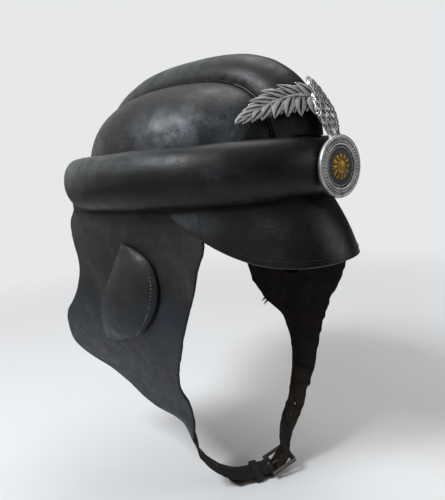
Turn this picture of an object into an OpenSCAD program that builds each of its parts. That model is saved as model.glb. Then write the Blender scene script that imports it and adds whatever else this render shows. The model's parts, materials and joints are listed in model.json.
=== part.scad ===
/* [Dome] */
// Half width of the leather dome at the brim line
dome_rx = 99.3; // [88:0.1:120]
// Half length of the leather dome at the brim line
dome_ry = 115.2; // [100:0.1:140]
// Height of the dome above the middle of the ring
dome_h = 81.6; // [65:0.1:100]
// How far the crown leans to the front
dome_lean = 11.3; // [0:0.1:14]
// Squareness of the dome, 1 is a plain ellipsoid
dome_power = 0.74; // [0.65:0.01:1]
// How far the dome wall runs down below the middle of the ring
wall_drop = 24; // [20:0.5:24]
// Thickness of the outer leather
leather_t = 2; // [1.5:0.1:3]
// Thickness of the stiff inner shell
shell_t = 3; // [2:0.1:4]
// Thickness of the lining
lining_t = 1.5; // [1:0.1:2.5]

/* [Padded ring] */
// How far the middle of the ring stands out from the dome at the sides
ring_side = 4.4; // [3:0.1:8]
// How far the middle of the ring stands out from the dome at front and back
ring_end = 18.6; // [17:0.1:22]
// Half thickness of the ring, measured outwards
ring_w = 16.9; // [12:0.1:19]
// Half height of the ring
ring_h = 24.5; // [20:0.1:28]

/* [Padded crest] */
// Half width of the crest
crest_w = 27.3; // [20:0.1:32]
// Height of the crest above the dome
crest_h = 23; // [16:0.1:28]

/* [Sweatband] */
// Thickness of the felt behind the sweatband
felt_t = 4; // [3:0.1:6]
// Thickness of the sweatband leather
band_t = 1.6; // [1:0.1:2.5]
// Height of the sweatband
band_h = 32; // [24:1:40]
// Height of the felt behind the sweatband
felt_h = 23; // [18:1:24]

/* [Visor] */
// Length of the visor at the middle, along its slope
visor_len = 56.6; // [40:0.1:75]
// Slope of the visor below level at the middle
visor_slope = 63; // [50:1:75]
// Angle from the front to the visor's rear corners
visor_span = 66; // [55:1:70]
// Thickness of each of the visor's leathers
visor_skin_t = 1.2; // [1:0.1:2]
// Thickness of the visor's board
visor_board_t = 1.8; // [1.2:0.1:3]

/* [Ear flaps] */
// Thickness of the flap leather
flap_t = 3; // [2:0.1:4]
// Depth of each flap below the ring, down to its strap
flap_depth = 233; // [200:1:270]
// How far the ear covers stand out
ear_bulge = 10; // [6:0.5:14]
// Radius of the ear hole behind each ear cover
ear_hole_r = 15; // [8:0.5:16]
// Thickness of the ear cover leather
ear_t = 2; // [1.5:0.1:3]

/* [Chin straps] */
// Width of the chin straps
strap_w = 22; // [16:0.5:24]
// Thickness of the chin straps
strap_t = 2.4; // [1.8:0.1:3]
// Length of the loose end of the long strap past the buckle
tail_len = 46; // [36:1:60]
// Radius of the buckle's wire
wire_r = 1.5; // [1.2:0.1:2]
// Distance between the two bars of the buckle
buckle_len = 24; // [22:0.5:30]
// Outer radius of the roller
roller_r = 2.6; // [2.4:0.1:3.2]
// Radius of the prong
prong_r = 1.2; // [1:0.1:1.5]
// Radius of the adjusting holes
hole_r = 1.6; // [1:0.1:2]
// Distance between the adjusting holes
hole_step = 12.5; // [10:0.5:16]

/* [Badge] */
// Radius of the medallion
medal_r = 25; // [20:0.5:26]
// Thickness of the medallion's rim
medal_t = 4; // [3:0.1:6]
// How far the medallion is turned to the wearer's right
medal_turn = 12; // [0:1:14]
// Height of the medallion's middle
medal_z = -2; // [-6:0.5:2]
// Thickness of the badge plate
plate_t = 2; // [1.2:0.1:3]
// Half width of the badge plate
plate_w = 60; // [50:1:66]
// Radius of the badge's threaded posts
post_r = 1.5; // [1:0.1:2]

/* [Clearances] */
// Space between soft layers and neighbours
gap = 0.3; // [0.2:0.05:0.5]
// Space between turning metal pieces
run = 0.1; // [0.05:0.05:0.2]

/* [Hidden] */
$fn = 32;

// The front is -Y, the wearer's left is +X, and z = 0 is the middle of the padded ring.
hide = [0.10, 0.10, 0.11];
hide_inside = [0.16, 0.12, 0.09];
silver = [0.62, 0.62, 0.60];
steel = [0.35, 0.33, 0.30];

function smooth(t) = let (c = min(max(t, 0), 1)) c * c * (3 - 2 * c);
function unit(v) = v / norm(v);
function mix(a, b, t) = a + (b - a) * t;

// A smooth value at t through [t, value] pairs in rising order of t.
function knot(points, t, i = 0) = i >= len(points) - 2 || t < points[i + 1][0] ? i : knot(points, t, i + 1);
function slope_at(points, i) =
    let (a = points[max(i - 1, 0)], b = points[min(i + 1, len(points) - 1)]) (b[1] - a[1]) / (b[0] - a[0]);
function through(points, t) =
    let (i = knot(points, t), a = points[i], b = points[i + 1], w = b[0] - a[0],
         u = min(max((t - a[0]) / w, 0), 1), m0 = slope_at(points, i) * w, m1 = slope_at(points, i + 1) * w)
    a[1] * (1 + 2 * u) * (1 - u) * (1 - u) + m0 * u * (1 - u) * (1 - u)
    + b[1] * u * u * (3 - 2 * u) - m1 * u * u * (1 - u);

// ---- solids from grids of points ----

function flat(grid) = [for (row = grid) each row];
function quad(a, b, c, d) = [[a, b, c], [a, c, d]];

// The solid between two sheets of points: front is the outer one, its rows run down and its columns to
// the left.
module slab(front, back, wrap = false) {
    rows = len(front);
    cols = len(front[0]);
    n = rows * cols;
    last = wrap ? cols - 1 : cols - 2;
    function at(r, c) = r * cols + c % cols;
    polyhedron(
        points = concat(flat(front), flat(back)),
        faces = concat(
            [for (r = [0:rows - 2], c = [0:last])
                each quad(at(r, c), at(r, c + 1), at(r + 1, c + 1), at(r + 1, c))],
            [for (r = [0:rows - 2], c = [0:last])
                each quad(n + at(r, c), n + at(r + 1, c), n + at(r + 1, c + 1), n + at(r, c + 1))],
            [for (c = [0:last]) each quad(at(0, c), n + at(0, c), n + at(0, c + 1), at(0, c + 1))],
            [for (c = [0:last]) let (r = rows - 1)
                each quad(at(r, c), at(r, c + 1), n + at(r, c + 1), n + at(r, c))],
            wrap ? [] : [for (r = [0:rows - 2])
                each quad(at(r, 0), at(r + 1, 0), n + at(r + 1, 0), n + at(r, 0))],
            wrap ? [] : [for (r = [0:rows - 2]) let (c = cols - 1)
                each quad(at(r, c), n + at(r, c), n + at(r + 1, c), at(r + 1, c))]));
}

// A closed ring of closed sections.
module closed_ring(grid) {
    rows = len(grid);
    cols = len(grid[0]);
    function at(r, c) = (r % rows) * cols + c % cols;
    polyhedron(
        points = flat(grid),
        faces = [for (r = [0:rows - 1], c = [0:cols - 1])
            each quad(at(r, c), at(r, c + 1), at(r + 1, c + 1), at(r + 1, c))]);
}

// A bar through a row of four-cornered sections.
module bar(grid) {
    rows = len(grid);
    function at(r, c) = r * 4 + c % 4;
    polyhedron(
        points = flat(grid),
        faces = concat(
            [for (r = [0:rows - 2], c = [0:3])
                each quad(at(r, c), at(r, c + 1), at(r + 1, c + 1), at(r + 1, c))],
            quad(3, 2, 1, 0),
            quad(at(rows - 1, 0), at(rows - 1, 1), at(rows - 1, 2), at(rows - 1, 3))));
}

// ---- dome ----

// A point of the dome, off in from the leather's outer face: az runs round from +X, s from 0 at the
// crown to 1 at the middle of the ring, and on down the straight wall.
function dome_point(off, az, s) =
    let (el = s < 1 ? 90 * (1 - s) : 0, c = pow(cos(el), dome_power), h = pow(sin(el), dome_power))
    [(dome_rx - off) * cos(az) * c,
     (dome_ry - off) * sin(az) * c - dome_lean * sin(el),
     s < 1 ? (dome_h - off) * h : -(s - 1) * dome_h];

// A square of u and v from -1 to 1 laid on the whole dome without a pole, down to depth below z = 0.
function dome_square(off, u, v, depth) =
    let (x = u * sqrt(1 - v * v / 2), y = v * sqrt(1 - u * u / 2), r = min(norm([x, y]), 1))
    dome_point(off, r < 0.0001 ? 0 : atan2(y, x), r * (1 + depth / dome_h));

function dome_sheet(off, u0, u1, nu, nv, depth) =
    [for (j = [0:nv]) [for (i = [0:nu]) dome_square(off, mix(u1, u0, i / nu), mix(1, -1, j / nv), depth)]];

dome_n = 20; // the grids of all the dome's layers line up, so that they keep clear of each other
module dome_shell(off, t, u0 = -1, u1 = 1, nu = dome_n) {
    slab(dome_sheet(off, u0, u1, nu, dome_n, wall_drop), dome_sheet(off + t, u0, u1, nu, dome_n, wall_drop));
}

shell_off = leather_t + gap;
facet = 0.1; // flat facets come nearer to each other than the smooth layers they stand for
lining_off = shell_off + shell_t + gap + facet;
felt_off = lining_off + lining_t + gap + 4 * facet;
band_off = felt_off + felt_t + gap;
seam_u = 0.004; // half of the seam between the two crown panels, as a share of the half width

module skull_cap() {
    color([0.30, 0.22, 0.15]) dome_shell(shell_off, shell_t);
}

module crown_panel_right() {
    color(hide) dome_shell(0, leather_t, -1, -seam_u, dome_n / 2);
}

module crown_panel_left() {
    color(hide) dome_shell(0, leather_t, seam_u, 1, dome_n / 2);
}

module crown_lining() {
    color([0.35, 0.27, 0.18]) dome_shell(lining_off, lining_t);
}

function oval(off, n = 72) =
    [for (i = [0:n - 1]) let (a = 360 * i / n) [(dome_rx - off) * cos(a), (dome_ry - off) * sin(a)]];

module oval_band(off, t, low, high) {
    translate([0, 0, low]) linear_extrude(high - low) difference() {
        polygon(oval(off));
        polygon(oval(off + t));
    }
}

felt_top = 0;
module felt_band() {
    color([0.45, 0.40, 0.33]) oval_band(felt_off, felt_t, felt_top - felt_h, felt_top);
}

band_top = 9;
module sweatband() {
    color([0.28, 0.17, 0.09]) oval_band(band_off, band_t, band_top - band_h, band_top);
}

// ---- padded ring ----

ring_rx = dome_rx + ring_side;
ring_ry = dome_ry + ring_end;

// Radius of the dome's wall in direction az, at height z, stood off by off.
function dome_reach(az, z, off) =
    let (s = pow(min(max(z, 0) / dome_h, 1), 1 / dome_power), c = pow(sqrt(1 - s * s), dome_power),
         a = dome_rx * c, b = dome_ry * c)
    a * b / norm([b * cos(az), a * sin(az)]) + off + (sin(az) < 0 ? -sin(az) * dome_lean * s : 0);

// A point of the ring's skin, in under its face: az round the head, v round the roll from its outermost line.
function ring_point(in, az, v, off) =
    let (c = [ring_rx * cos(az), ring_ry * sin(az)], out = unit([cos(az) * ring_ry, sin(az) * ring_rx]),
         z = (ring_h - in) * sin(v), p = c + out * (ring_w - in) * cos(v), dir = atan2(p[1], p[0]),
         r = max(norm(p), dome_reach(dir, z, off)))
    [r * cos(dir), r * sin(dir), z];

ring_open = 157.5; // the cover's two sewn edges, in degrees round the roll from its outermost line
ring_steps = 48;
ring_rows = 14;
roll_steps = 16;
function ring_sheet(in, off) =
    [for (j = [0:ring_rows]) [for (i = [0:ring_steps - 1])
        ring_point(in, 360 * i / ring_steps, mix(ring_open, -ring_open, j / ring_rows), off)]];

module ring_skin() {
    slab(ring_sheet(0, gap), ring_sheet(leather_t, gap + leather_t), wrap = true);
}

fill_in = leather_t + gap;
module ring_roll() {
    closed_ring([for (i = [0:ring_steps - 1]) [for (j = [0:roll_steps - 1])
        ring_point(fill_in, 360 * i / ring_steps, -360 * j / roll_steps, gap + fill_in)]]);
}

module ring_cover() {
    color(hide) difference() {
        ring_skin();
        post_bores(post_r + gap);
    }
}

module ring_filling() {
    color([0.55, 0.50, 0.40]) difference() {
        ring_roll();
        post_pockets(false);
    }
}

// ---- padded crest ----

// A point of the dome under the crest: a runs from 0 at the front, over the top, to 180 at the back.
function crest_base(a, x, off) =
    let (k = x / (dome_rx + off), e = pow(abs(cos(a)), dome_power), side = cos(a) < 0 ? 1 : -1,
         c = sqrt(k * k + (1 - k * k) * e * e), s = sqrt(max(1 - pow(c, 2 / dome_power), 0)))
    [x, side * (dome_ry + off) * sqrt(1 - k * k) * e - dome_lean * s, (dome_h + off) * pow(s, dome_power)];

function crest_out(a) =
    let (p = crest_base(min(a + 1, 179.5), 0, 0), q = crest_base(max(a - 1, 0.5), 0, 0), d = p - q)
    unit([0, -d[2], d[1]]);

// A point of the crest's skin: b runs across it from the wearer's left edge at 0 to the right one at 180.
function crest_point(in, a, b) =
    crest_base(a, (crest_w - in) * cos(b), gap) + crest_out(a) * (crest_h - in) * sin(b);

// The crest stops where it would meet the ring, found by halving the angle again and again.
crest_space = 1.2; // how far the crest's ends stay above the ring
function clear_of_ring(p) =
    let (r = norm([p[0] * ring_ry / ring_rx, p[1]]) - ring_ry, q = 1 - pow(r / (ring_w + 1), 2))
    p[2] > ring_h * sqrt(max(q, 0)) + crest_space;
function crest_stop(b, clear, meet, n = 9) =
    let (m = (clear + meet) / 2) n == 0 ? clear
    : clear_of_ring(crest_point(0, m, b)) && clear_of_ring(crest_point(leather_t, m, b))
      ? crest_stop(b, m, meet, n - 1) : crest_stop(b, clear, m, n - 1);

crest_rows = 14;
crest_cols = 26;
// One row of the crest: [angle across it, the angles along it from its back end to its front end].
function crest_row(j) =
    let (b = 180 * j / crest_rows, front = crest_stop(b, 60, 0), back = crest_stop(b, 120, 180))
    [b, [for (i = [0:crest_cols]) mix(back, front, i / crest_cols)]];
crest_lines = [for (j = [0:crest_rows]) crest_row(j)];
function crest_sheet(in) = [for (line = crest_lines) [for (a = line[1]) crest_point(in, a, line[0])]];

module crest_cover() {
    color(hide) difference() {
        slab(crest_sheet(0), crest_sheet(leather_t));
        post_bores(post_r + gap);
    }
}

// The filling's underside lies on the dome.
function crest_floor(in) =
    [for (line = crest_lines) [for (a = line[1]) crest_base(a, (crest_w - in) * cos(line[0]), gap + facet)]];

module crest_filling() {
    color([0.55, 0.50, 0.40]) difference() {
        slab(crest_sheet(fill_in), crest_floor(fill_in));
        post_pockets(true);
    }
}

// ---- visor ----

visor_rx = ring_rx - 15.7; // the visor's plan is an oval, narrower at the front than at its corners
visor_corner = 18; // how much wider the oval is at the corners
visor_ry = ring_ry + 5.2;
visor_top = -(ring_h + gap + facet);
corner_slope = 90;
corner_len = 5; // length of the visor at its rear corners
visor_bow = 2.5; // how far the visor bows out between the ring and its free edge
visor_rows = 5;
visor_cols = 26;

function visor_length(a) = corner_len + (visor_len - corner_len) * (1 - pow(abs(a) / visor_span, 3));
// A point of the visor: a is the angle from the front, v runs from 0 at the ring to 1 at the free edge.
function visor_point(in, a, v) =
    let (u = a / visor_span, x = (visor_rx + visor_corner * u * u) * sin(a), y = -visor_ry * cos(a),
         out = unit([x / (visor_rx * visor_rx), y / (visor_ry * visor_ry)]),
         tilt = mix(visor_slope, corner_slope, pow(abs(u), 1.4)), d = v * visor_length(a),
         bow = 4 * v * (1 - v) * visor_bow * (1 - u * u), r = cos(tilt) * d + bow - in)
    [x + out[0] * r, y + out[1] * r, visor_top - sin(tilt) * d];

function visor_sheet(in, inset) =
    [for (j = [0:visor_rows]) [for (i = [0:visor_cols])
        visor_point(in, visor_span * (1 - 2 * i / visor_cols) * (1 - inset), (1 - inset) * j / visor_rows)]];

module visor_layer(in, t, inset = 0) {
    slab(visor_sheet(in, inset), visor_sheet(in + t, inset));
}

board_in = visor_skin_t + gap;
visor_in = board_in + visor_board_t + gap;

module visor_outer() {
    color(hide) visor_layer(0, visor_skin_t);
}

module visor_board() {
    color([0.40, 0.32, 0.22]) visor_layer(board_in, visor_board_t, 0.03);
}

module visor_lining() {
    color(hide_inside) visor_layer(visor_in, visor_skin_t);
}

// How far back the visor's free edge is at a depth below the ring, or well forward where it is past the edge.
function edge_angle(drop, low, high, n = 12) =
    let (m = (low + high) / 2) n == 0 ? high
    : visor_top - visor_point(0, m, 1)[2] > drop ? edge_angle(drop, m, high, n - 1)
    : edge_angle(drop, low, m, n - 1);
function visor_back(drop) =
    drop > visor_len * sin(visor_slope) + 1 ? -dome_ry * 3
    : visor_point(visor_in + visor_skin_t, edge_angle(drop, 0, visor_span), 1)[1];

// ---- ear flaps ----

flap_top = visor_top - 0.3;
flap_space = 3; // between the visor's edge and a flap
right_x = -(dome_rx - 2.3);
left_x = dome_rx - 3.8;

// The outlines are [depth below the ring, y] pairs, scaled down the flap with its depth.
right_depth = 233;
left_depth = 197;
depth_k = flap_depth / right_depth;
right_front = [[0, -56], [24, -79], [48, -74.5], [71, -69], [93, -60], [125, -46.5], [143, -37], [160, -29.5],
               [171, -27.5], [184, -31], [208, -27], [233, -24]];
right_rear = [[0, 95], [12, 108], [24, 107], [37, 99], [48, 92.5], [57, 90], [69, 92], [82, 98],
              [95, 109], [106, 121.5], [117, 129.5], [133, 135], [149, 136], [158, 126], [165, 105.5],
              [173, 79], [185, 58], [198, 43], [210, 18.6], [220, 2], [233, -4]];
left_front = [[0, -53], [30, -82], [50, -112], [64, -126], [78, -125], [96, -116], [114, -107], [132, -102],
              [149, -100], [180, -100], [197, -97.5]];
left_rear = [[0, 76], [20, 68], [45, 50], [65, 34], [85, 16], [107, 4], [120, -10], [127, -18], [139, -43],
             [151, -54], [165, -63], [180, -68], [197, -72]];

// The right flap is curved round the head at its top, flat lower down, and turned to its strap at the tip.
right_curl = 0.0015; // curve of the right flap round the head
right_in = 40; // how far the right flap comes in towards the chin
tip_turn = 35;
tip_y = -14;
left_curl = 0.0012;
left_nose = 0.004; // further curve of the left flap's front part
left_in = 80;
function right_face(y, drop) =
    let (d = drop / depth_k)
    right_x + right_curl * (1 - 0.9 * smooth(d / 90)) * pow(y - 15, 2) + right_in * smooth((d - 95) / 170)
    + tan(tip_turn) * smooth((d - 205) / 28) * (y - tip_y);
function left_face(y, drop) =
    left_x - left_curl * pow(y + 30, 2) - left_nose * pow(max(-60 - y, 0), 2)
    - left_in * smooth((drop / depth_k - 50) / 245);

function edge_y(front, drop) = max(through(front, drop / depth_k), visor_back(drop) + flap_space);
function right_point(in, w, drop) =
    let (y = mix(edge_y(right_front, drop), through(right_rear, drop / depth_k), w))
    [right_face(y, drop) + in, y, flap_top - drop];
function left_point(in, w, drop) =
    let (y = mix(edge_y(left_front, drop), through(left_rear, drop / depth_k), w))
    [left_face(y, drop) - in, y, flap_top - drop];

flap_rows = 26;
flap_cols = 11;
function right_sheet(in) =
    [for (j = [0:flap_rows]) [for (i = [0:flap_cols])
        right_point(in, 1 - i / flap_cols, flap_depth * j / flap_rows)]];
function left_sheet(in) =
    [for (j = [0:flap_rows]) [for (i = [0:flap_cols])
        left_point(in, i / flap_cols, left_depth * depth_k * j / flap_rows)]];

module right_flap() {
    color(hide) difference() {
        slab(right_sheet(0), right_sheet(flap_t));
        ear_bore(right_ear_y, right_x);
    }
}

module left_flap() {
    color(hide) difference() {
        slab(left_sheet(0), left_sheet(flap_t));
        ear_bore(left_ear_y, left_x);
    }
}

// ---- ear covers ----

ear_drop = 80; // depth of the ear hole's middle below the ring
ear_top = 28;
ear_low = 128;
ear_front = [[28, 4], [34, -14], [42, -26], [56, -33], [68, -34], [82, -30], [96, -21], [109, -8], [116, 4],
             [123, 28], [128, 50]];
ear_rear = [[28, 8], [35, 11], [51, 22], [69, 35], [83, 46], [99, 52], [128, 55]];
right_ear_y = 12;
// The left flap is swept forward, and its ear cover with it.
function ear_sweep(drop) = 30 + 0.6 * (drop - ear_top);
left_ear_y = right_ear_y - ear_sweep(ear_drop);

module ear_bore(y, x) {
    translate([x, y, flap_top - ear_drop * depth_k]) rotate([0, 90, 0])
        cylinder(h = 60, r = ear_hole_r, center = true);
}

// Height of the cover over the flap: sewn down all round but at the back, where it stands a little open.
ear_mouth = 0.2;
function ear_height(w, d) =
    ear_bulge * (1 - pow(abs(2 * d - 1), 3))
    * (w < 0.5 ? 1 - pow(1 - 2 * w, 3) : 1 - (1 - ear_mouth) * pow(2 * w - 1, 2));

function ear_y(w, d, sweep) =
    let (drop = mix(ear_top, ear_low, d)) mix(through(ear_front, drop), through(ear_rear, drop), w)
    - (sweep ? ear_sweep(drop) : 0);
ear_n = 12;
function ear_sheet(in, left) =
    [for (j = [0:ear_n]) [for (i = [0:ear_n])
        let (w = left ? i / ear_n : 1 - i / ear_n, d = j / ear_n, y = ear_y(w, d, left),
             drop = mix(ear_top, ear_low, d) * depth_k, out = gap + 0.2 + ear_height(w, d) + ear_t - in)
        [left ? left_face(y, drop) + out : right_face(y, drop) - out, y, flap_top - drop]]];

module right_ear_cover() {
    color(hide) slab(ear_sheet(0, false), ear_sheet(ear_t, false));
}

module left_ear_cover() {
    color(hide) slab(ear_sheet(0, true), ear_sheet(ear_t, true));
}

// ---- chin straps and buckle ----

buckle_at = [5, -59, -311]; // the middle of the bar that the short strap is looped round
heading = -33; // direction of the straps at the buckle, turned from +X
strap_rise = 2;
buckle_rise = 22;

function toward(rise) = [cos(rise) * cos(heading), cos(rise) * sin(heading), sin(rise)];
function up_from(rise) = [-sin(rise) * cos(heading), -sin(rise) * sin(heading), cos(rise)];
across = [-sin(heading), cos(heading), 0];
function at_strap(s, n) = buckle_at + toward(strap_rise) * s + up_from(strap_rise) * n;
function at_buckle(s, n) = buckle_at + toward(buckle_rise) * s + up_from(buckle_rise) * n;

module on_strap() {
    translate(buckle_at) rotate([0, -strap_rise, heading]) children();
}

module on_buckle() {
    translate(buckle_at) rotate([0, -buckle_rise, heading]) children();
}

module cross_bar(r, h) {
    rotate([90, 0, 0]) cylinder(h = h, r = r, center = true);
}

function bezier(p, t) =
    pow(1 - t, 3) * p[0] + 3 * t * pow(1 - t, 2) * p[1] + 3 * t * t * (1 - t) * p[2] + pow(t, 3) * p[3];

// A strap's sections: its start is cut level, flat along side[0], and it turns to side[1] at its end.
function strap_sections(path, sides, w, t) =
    [for (i = [0:len(path) - 1])
        let (f = i == 0 ? [0, 0, -1] : unit(path[min(i + 1, len(path) - 1)] - path[i - 1]),
             k = i / (len(path) - 1), side0 = unit(mix(sides[0], sides[1], smooth(k * 1.5))),
             side = unit(side0 - f * (side0 * f)), n = cross(f, side))
        [path[i] - side * w / 2 + n * t / 2, path[i] + side * w / 2 + n * t / 2,
         path[i] + side * w / 2 - n * t / 2, path[i] - side * w / 2 - n * t / 2]];

// The short strap: from the right flap's tip to the loop round the buckle's bar.
loop_r = wire_r + gap;
loop_out = loop_r + 2;
straight = 26;
right_end = [for (w = [0, 1]) right_point(flap_t / 2, w, flap_depth)];
right_tip = (right_end[0] + right_end[1]) / 2 - [0, 0, gap + 0.6];
short_bend = [right_tip, right_tip + [5, 0, -26], at_strap(-straight - 26, 3), at_strap(-straight, 0)];
short_path = concat(
    [for (i = [0:9]) bezier(short_bend, i / 10)],
    [at_strap(-straight, 0), at_strap(-straight / 2, 0), at_strap(-loop_r - 0.6, 0)]);

module right_strap() {
    slot = 6.4;
    color(hide_inside) difference() {
        union() {
            bar(strap_sections(short_path, [right_end[1] - right_end[0], across], strap_w, strap_t));
            on_strap() cross_bar(loop_out, strap_w - 0.8);
        }
        on_strap() cross_bar(loop_r, strap_w + 2);
        on_strap() cube([2 * loop_out + 2, slot, 2 * loop_out + 2], center = true);
    }
}

// The keeper goes round the short strap and the long strap's loose end.
keeper_s = -16;
keeper_len = 8;
keeper_t = 2;
tail_n = -(strap_t + gap + 0.4);
keeper_low = tail_n - strap_t / 2 - 3 * gap;
keeper_high = strap_t / 2 + gap;

module strap_keeper() {
    wide = strap_w + 2 * gap;
    tall = keeper_high - keeper_low;
    color(hide_inside) on_strap() translate([keeper_s, 0, (keeper_high + keeper_low) / 2]) difference() {
        cube([keeper_len, wide + 2 * keeper_t, tall + 2 * keeper_t], center = true);
        cube([keeper_len + 2, wide, tall], center = true);
    }
}

rod_r = wire_r + 0.4; // the frame's side rods are a little thicker than its bars
frame_room = 3; // how much wider the frame is inside than the strap
frame_w = strap_w + frame_room + 2 * rod_r;
module buckle_frame() {
    color(steel) on_buckle() {
        cross_bar(wire_r, frame_w);
        translate([buckle_len, 0, 0]) cross_bar(wire_r, frame_w);
        for (side = [-1, 1]) translate([-rod_r, side * frame_w / 2, 0]) rotate([0, 90, 0])
            cylinder(h = buckle_len + 2 * rod_r, r = rod_r);
    }
}

module buckle_roller() {
    color(steel) on_buckle() translate([buckle_len, 0, 0]) difference() {
        cross_bar(roller_r, strap_w + frame_room - 4 * run);
        cross_bar(wire_r + run, frame_w);
    }
}

// The prong rests on the roller's outer side.
prong_lift = asin((roller_r + prong_r + gap) / buckle_len);
eye_r = wire_r + run + 1.4;
module prong_rod(r, far) {
    rotate([0, 90 + prong_lift, 0]) translate([0, 0, wire_r + run + 0.6]) cylinder(h = far, r = r);
}

module buckle_prong() {
    color(steel) on_buckle() difference() {
        union() {
            cross_bar(eye_r, 4.4);
            prong_rod(prong_r, buckle_len + 1.4);
        }
        cross_bar(wire_r + run, 6);
    }
}

// The long strap: down from the left flap's tip, over the roller's inner side, through the frame, and back
// along the short strap's outer side.
left_end = [for (w = [0, 1]) left_point(flap_t / 2, w, left_depth * depth_k)];
left_tip = (left_end[0] + left_end[1]) / 2 - [0, 0, gap + 0.3];
left_side = [0.2, 1, 0.3]; // the long strap's width at the flap
roller_n = roller_r + strap_t / 2 + 1;
bar_n = loop_out + strap_t / 2 + 3 * gap;
long_top = at_buckle(buckle_len + 1.5, roller_n + 7);
tail_s = -18;
long_bend = [left_tip, left_tip + [-12, 2, -28], long_top + [0, -1, 26], long_top];
bend_steps = 9;
long_path = concat(
    [for (i = [0:bend_steps - 1]) bezier(long_bend, i / bend_steps)],
    [long_top, at_buckle(buckle_len - 1, roller_n + 1.2), at_buckle(buckle_len - 5, roller_n - 2.4),
     at_buckle(buckle_len / 2 + 1, -1), at_buckle(6, -bar_n + 1.1), at_strap(0, -bar_n),
     at_strap(-6, -bar_n + 0.6)],
    [for (s = [tail_s + 5, tail_s, -straight + 1]) at_strap(s, tail_n)],
    [for (i = [1:3])
        at_strap(-straight + 1 - (tail_len - straight + 1) * i / 3, tail_n + 0.35 * i * i - 0.2)]);

// The point a distance back along a path from its point i, and the direction of the path there.
function back_along(path, i, s) =
    let (step = path[i] - path[i - 1], d = norm(step))
    s < d ? [path[i] - step * s / d, step / d] : back_along(path, i - 1, s - d);

hole_first = 24; // from the top of the buckle up to the first adjusting hole
module left_strap() {
    color(hide_inside) difference() {
        bar(strap_sections(long_path, [left_side, across], strap_w, strap_t));
        on_buckle() prong_rod(prong_r + gap, buckle_len);
        for (i = [0:2]) {
            hole = back_along(long_path, bend_steps, hole_first + i * hole_step);
            p = hole[0];
            d = hole[1];
            side = unit(left_side - d * (left_side * d));
            n = cross(d, side);
            multmatrix([for (k = [0:2]) [d[k], side[k], n[k], p[k]]])
                cylinder(h = 4 * strap_t, r = hole_r, center = true);
        }
    }
}

// ---- badge ----

ring_front = ring_ry + ring_w;
// The medallion's nearer edge just clears the ring's curved front.
medal_y = -(ring_front + tan(medal_turn) * medal_r - pow(medal_r, 2) / (2 * ring_rx * ring_rx / ring_ry) + 1);
plate_low = 22;
plate_foot = 8; // half width of the plate where it is behind the turned medallion
plate_high = 70;
// The crest's front face at the middle, at a height.
function crest_front(z, low = 4, high = 80, n = 12) =
    let (m = (low + high) / 2, p = crest_point(0, m, 90)) n == 0 ? p[1]
    : p[2] < z ? crest_front(z, m, high, n - 1) : crest_front(z, low, m, n - 1);
plate_y_low = medal_y + tan(medal_turn) * plate_foot + gap;
plate_y_high = crest_front(plate_high) - 8;
plate_slope = (plate_y_high - plate_y_low) / (plate_high - plate_low);

// Half outlines of the plate as [distance from the middle, z] pairs: a bud above the medallion, with a spray
// of leaves on each side.
plate_upper = [[0, 70], [5, 69], [9, 63], [14, 63.5], [23, 66], [31, 63], [41, 56.5], [50, 49], [60, 40.8]];
plate_lower = [[0, 22], [7, 22], [12, 29], [16, 37.5], [25, 41], [30, 43.5], [40, 40], [50, 39], [60, 39.3]];
plate_k = plate_w / 60;
function plate_back(x) = 0.85 * max(abs(x) - 9, 0) + 0.001 * x * x;
function plate_point(in, x, v) =
    let (q = abs(x) / plate_k, z = mix(through(plate_upper, q), through(plate_lower, q), v))
    [x, plate_y_low + plate_slope * (z - plate_low) + plate_back(x) + in, z];

module badge_plate() {
    n = 36;
    color(silver) slab(
        [for (j = [0:5]) [for (i = [0:n]) plate_point(0, plate_w * (1 - 2 * i / n), j / 5)]],
        [for (j = [0:5]) [for (i = [0:n]) plate_point(plate_t, plate_w * (1 - 2 * i / n), j / 5)]]);
}

module on_medal() {
    translate([0, medal_y, medal_z]) rotate([90, 0, -medal_turn]) children();
}

field_r = medal_r * 0.66;
boss_r = medal_r * 0.42;
back_t = 1;
field_sunk = 1.2; // how far the field lies below the rim's face

module badge_medallion() {
    color(silver) on_medal() difference() {
        cylinder(h = medal_t, r = medal_r, $fn = 64);
        translate([0, 0, back_t]) cylinder(h = medal_t, r = field_r + run, $fn = 64);
    }
}

module badge_field() {
    color([0.06, 0.06, 0.07]) on_medal() translate([0, 0, back_t])
        cylinder(h = medal_t - back_t - field_sunk, r = field_r, $fn = 64);
}

module badge_boss() {
    rise = 3;
    ball = (boss_r * boss_r + rise * rise) / (2 * rise);
    half = asin(boss_r / ball);
    dome = [for (i = [0:8]) let (a = half * (1 - i / 8)) [ball * sin(a), rise - ball + ball * cos(a)]];
    color([0.72, 0.55, 0.16]) on_medal() translate([0, 0, medal_t - field_sunk]) rotate_extrude($fn = 64)
        polygon(concat([[0, 0]], dome));
}

// Threaded posts hold the badge: two through the ring and one through the crest.
post_x = 10;
post_in = 9;
nut_r = 3.4;
nut_t = 2.4;
ring_nut = -ring_front + leather_t + 2;
crest_nut = 8;
crest_post_z = 47;
crest_post_y = plate_y_low + plate_slope * (crest_post_z - plate_low) + plate_t;
post_back = 12;

module ring_posts(r, from, to) {
    for (x = [-post_x, post_x]) translate([x, from, medal_z]) rotate([-90, 0, 0])
        cylinder(h = to - from, r = r);
}

module crest_post(r, from, to) {
    translate([0, crest_post_y + from, crest_post_z]) rotate([-90, 0, 0]) cylinder(h = to - from, r = r);
}

module post_bores(r) {
    ring_posts(r, -ring_front - 4, -ring_front + post_in + 4);
    crest_post(r, -1, post_back + 4);
}

module post_pockets(crest) {
    if (crest) crest_post(nut_r + 1, -4, post_back + 2);
    else ring_posts(nut_r + 1, -ring_front - 2, -ring_front + post_in + 2);
}

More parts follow.
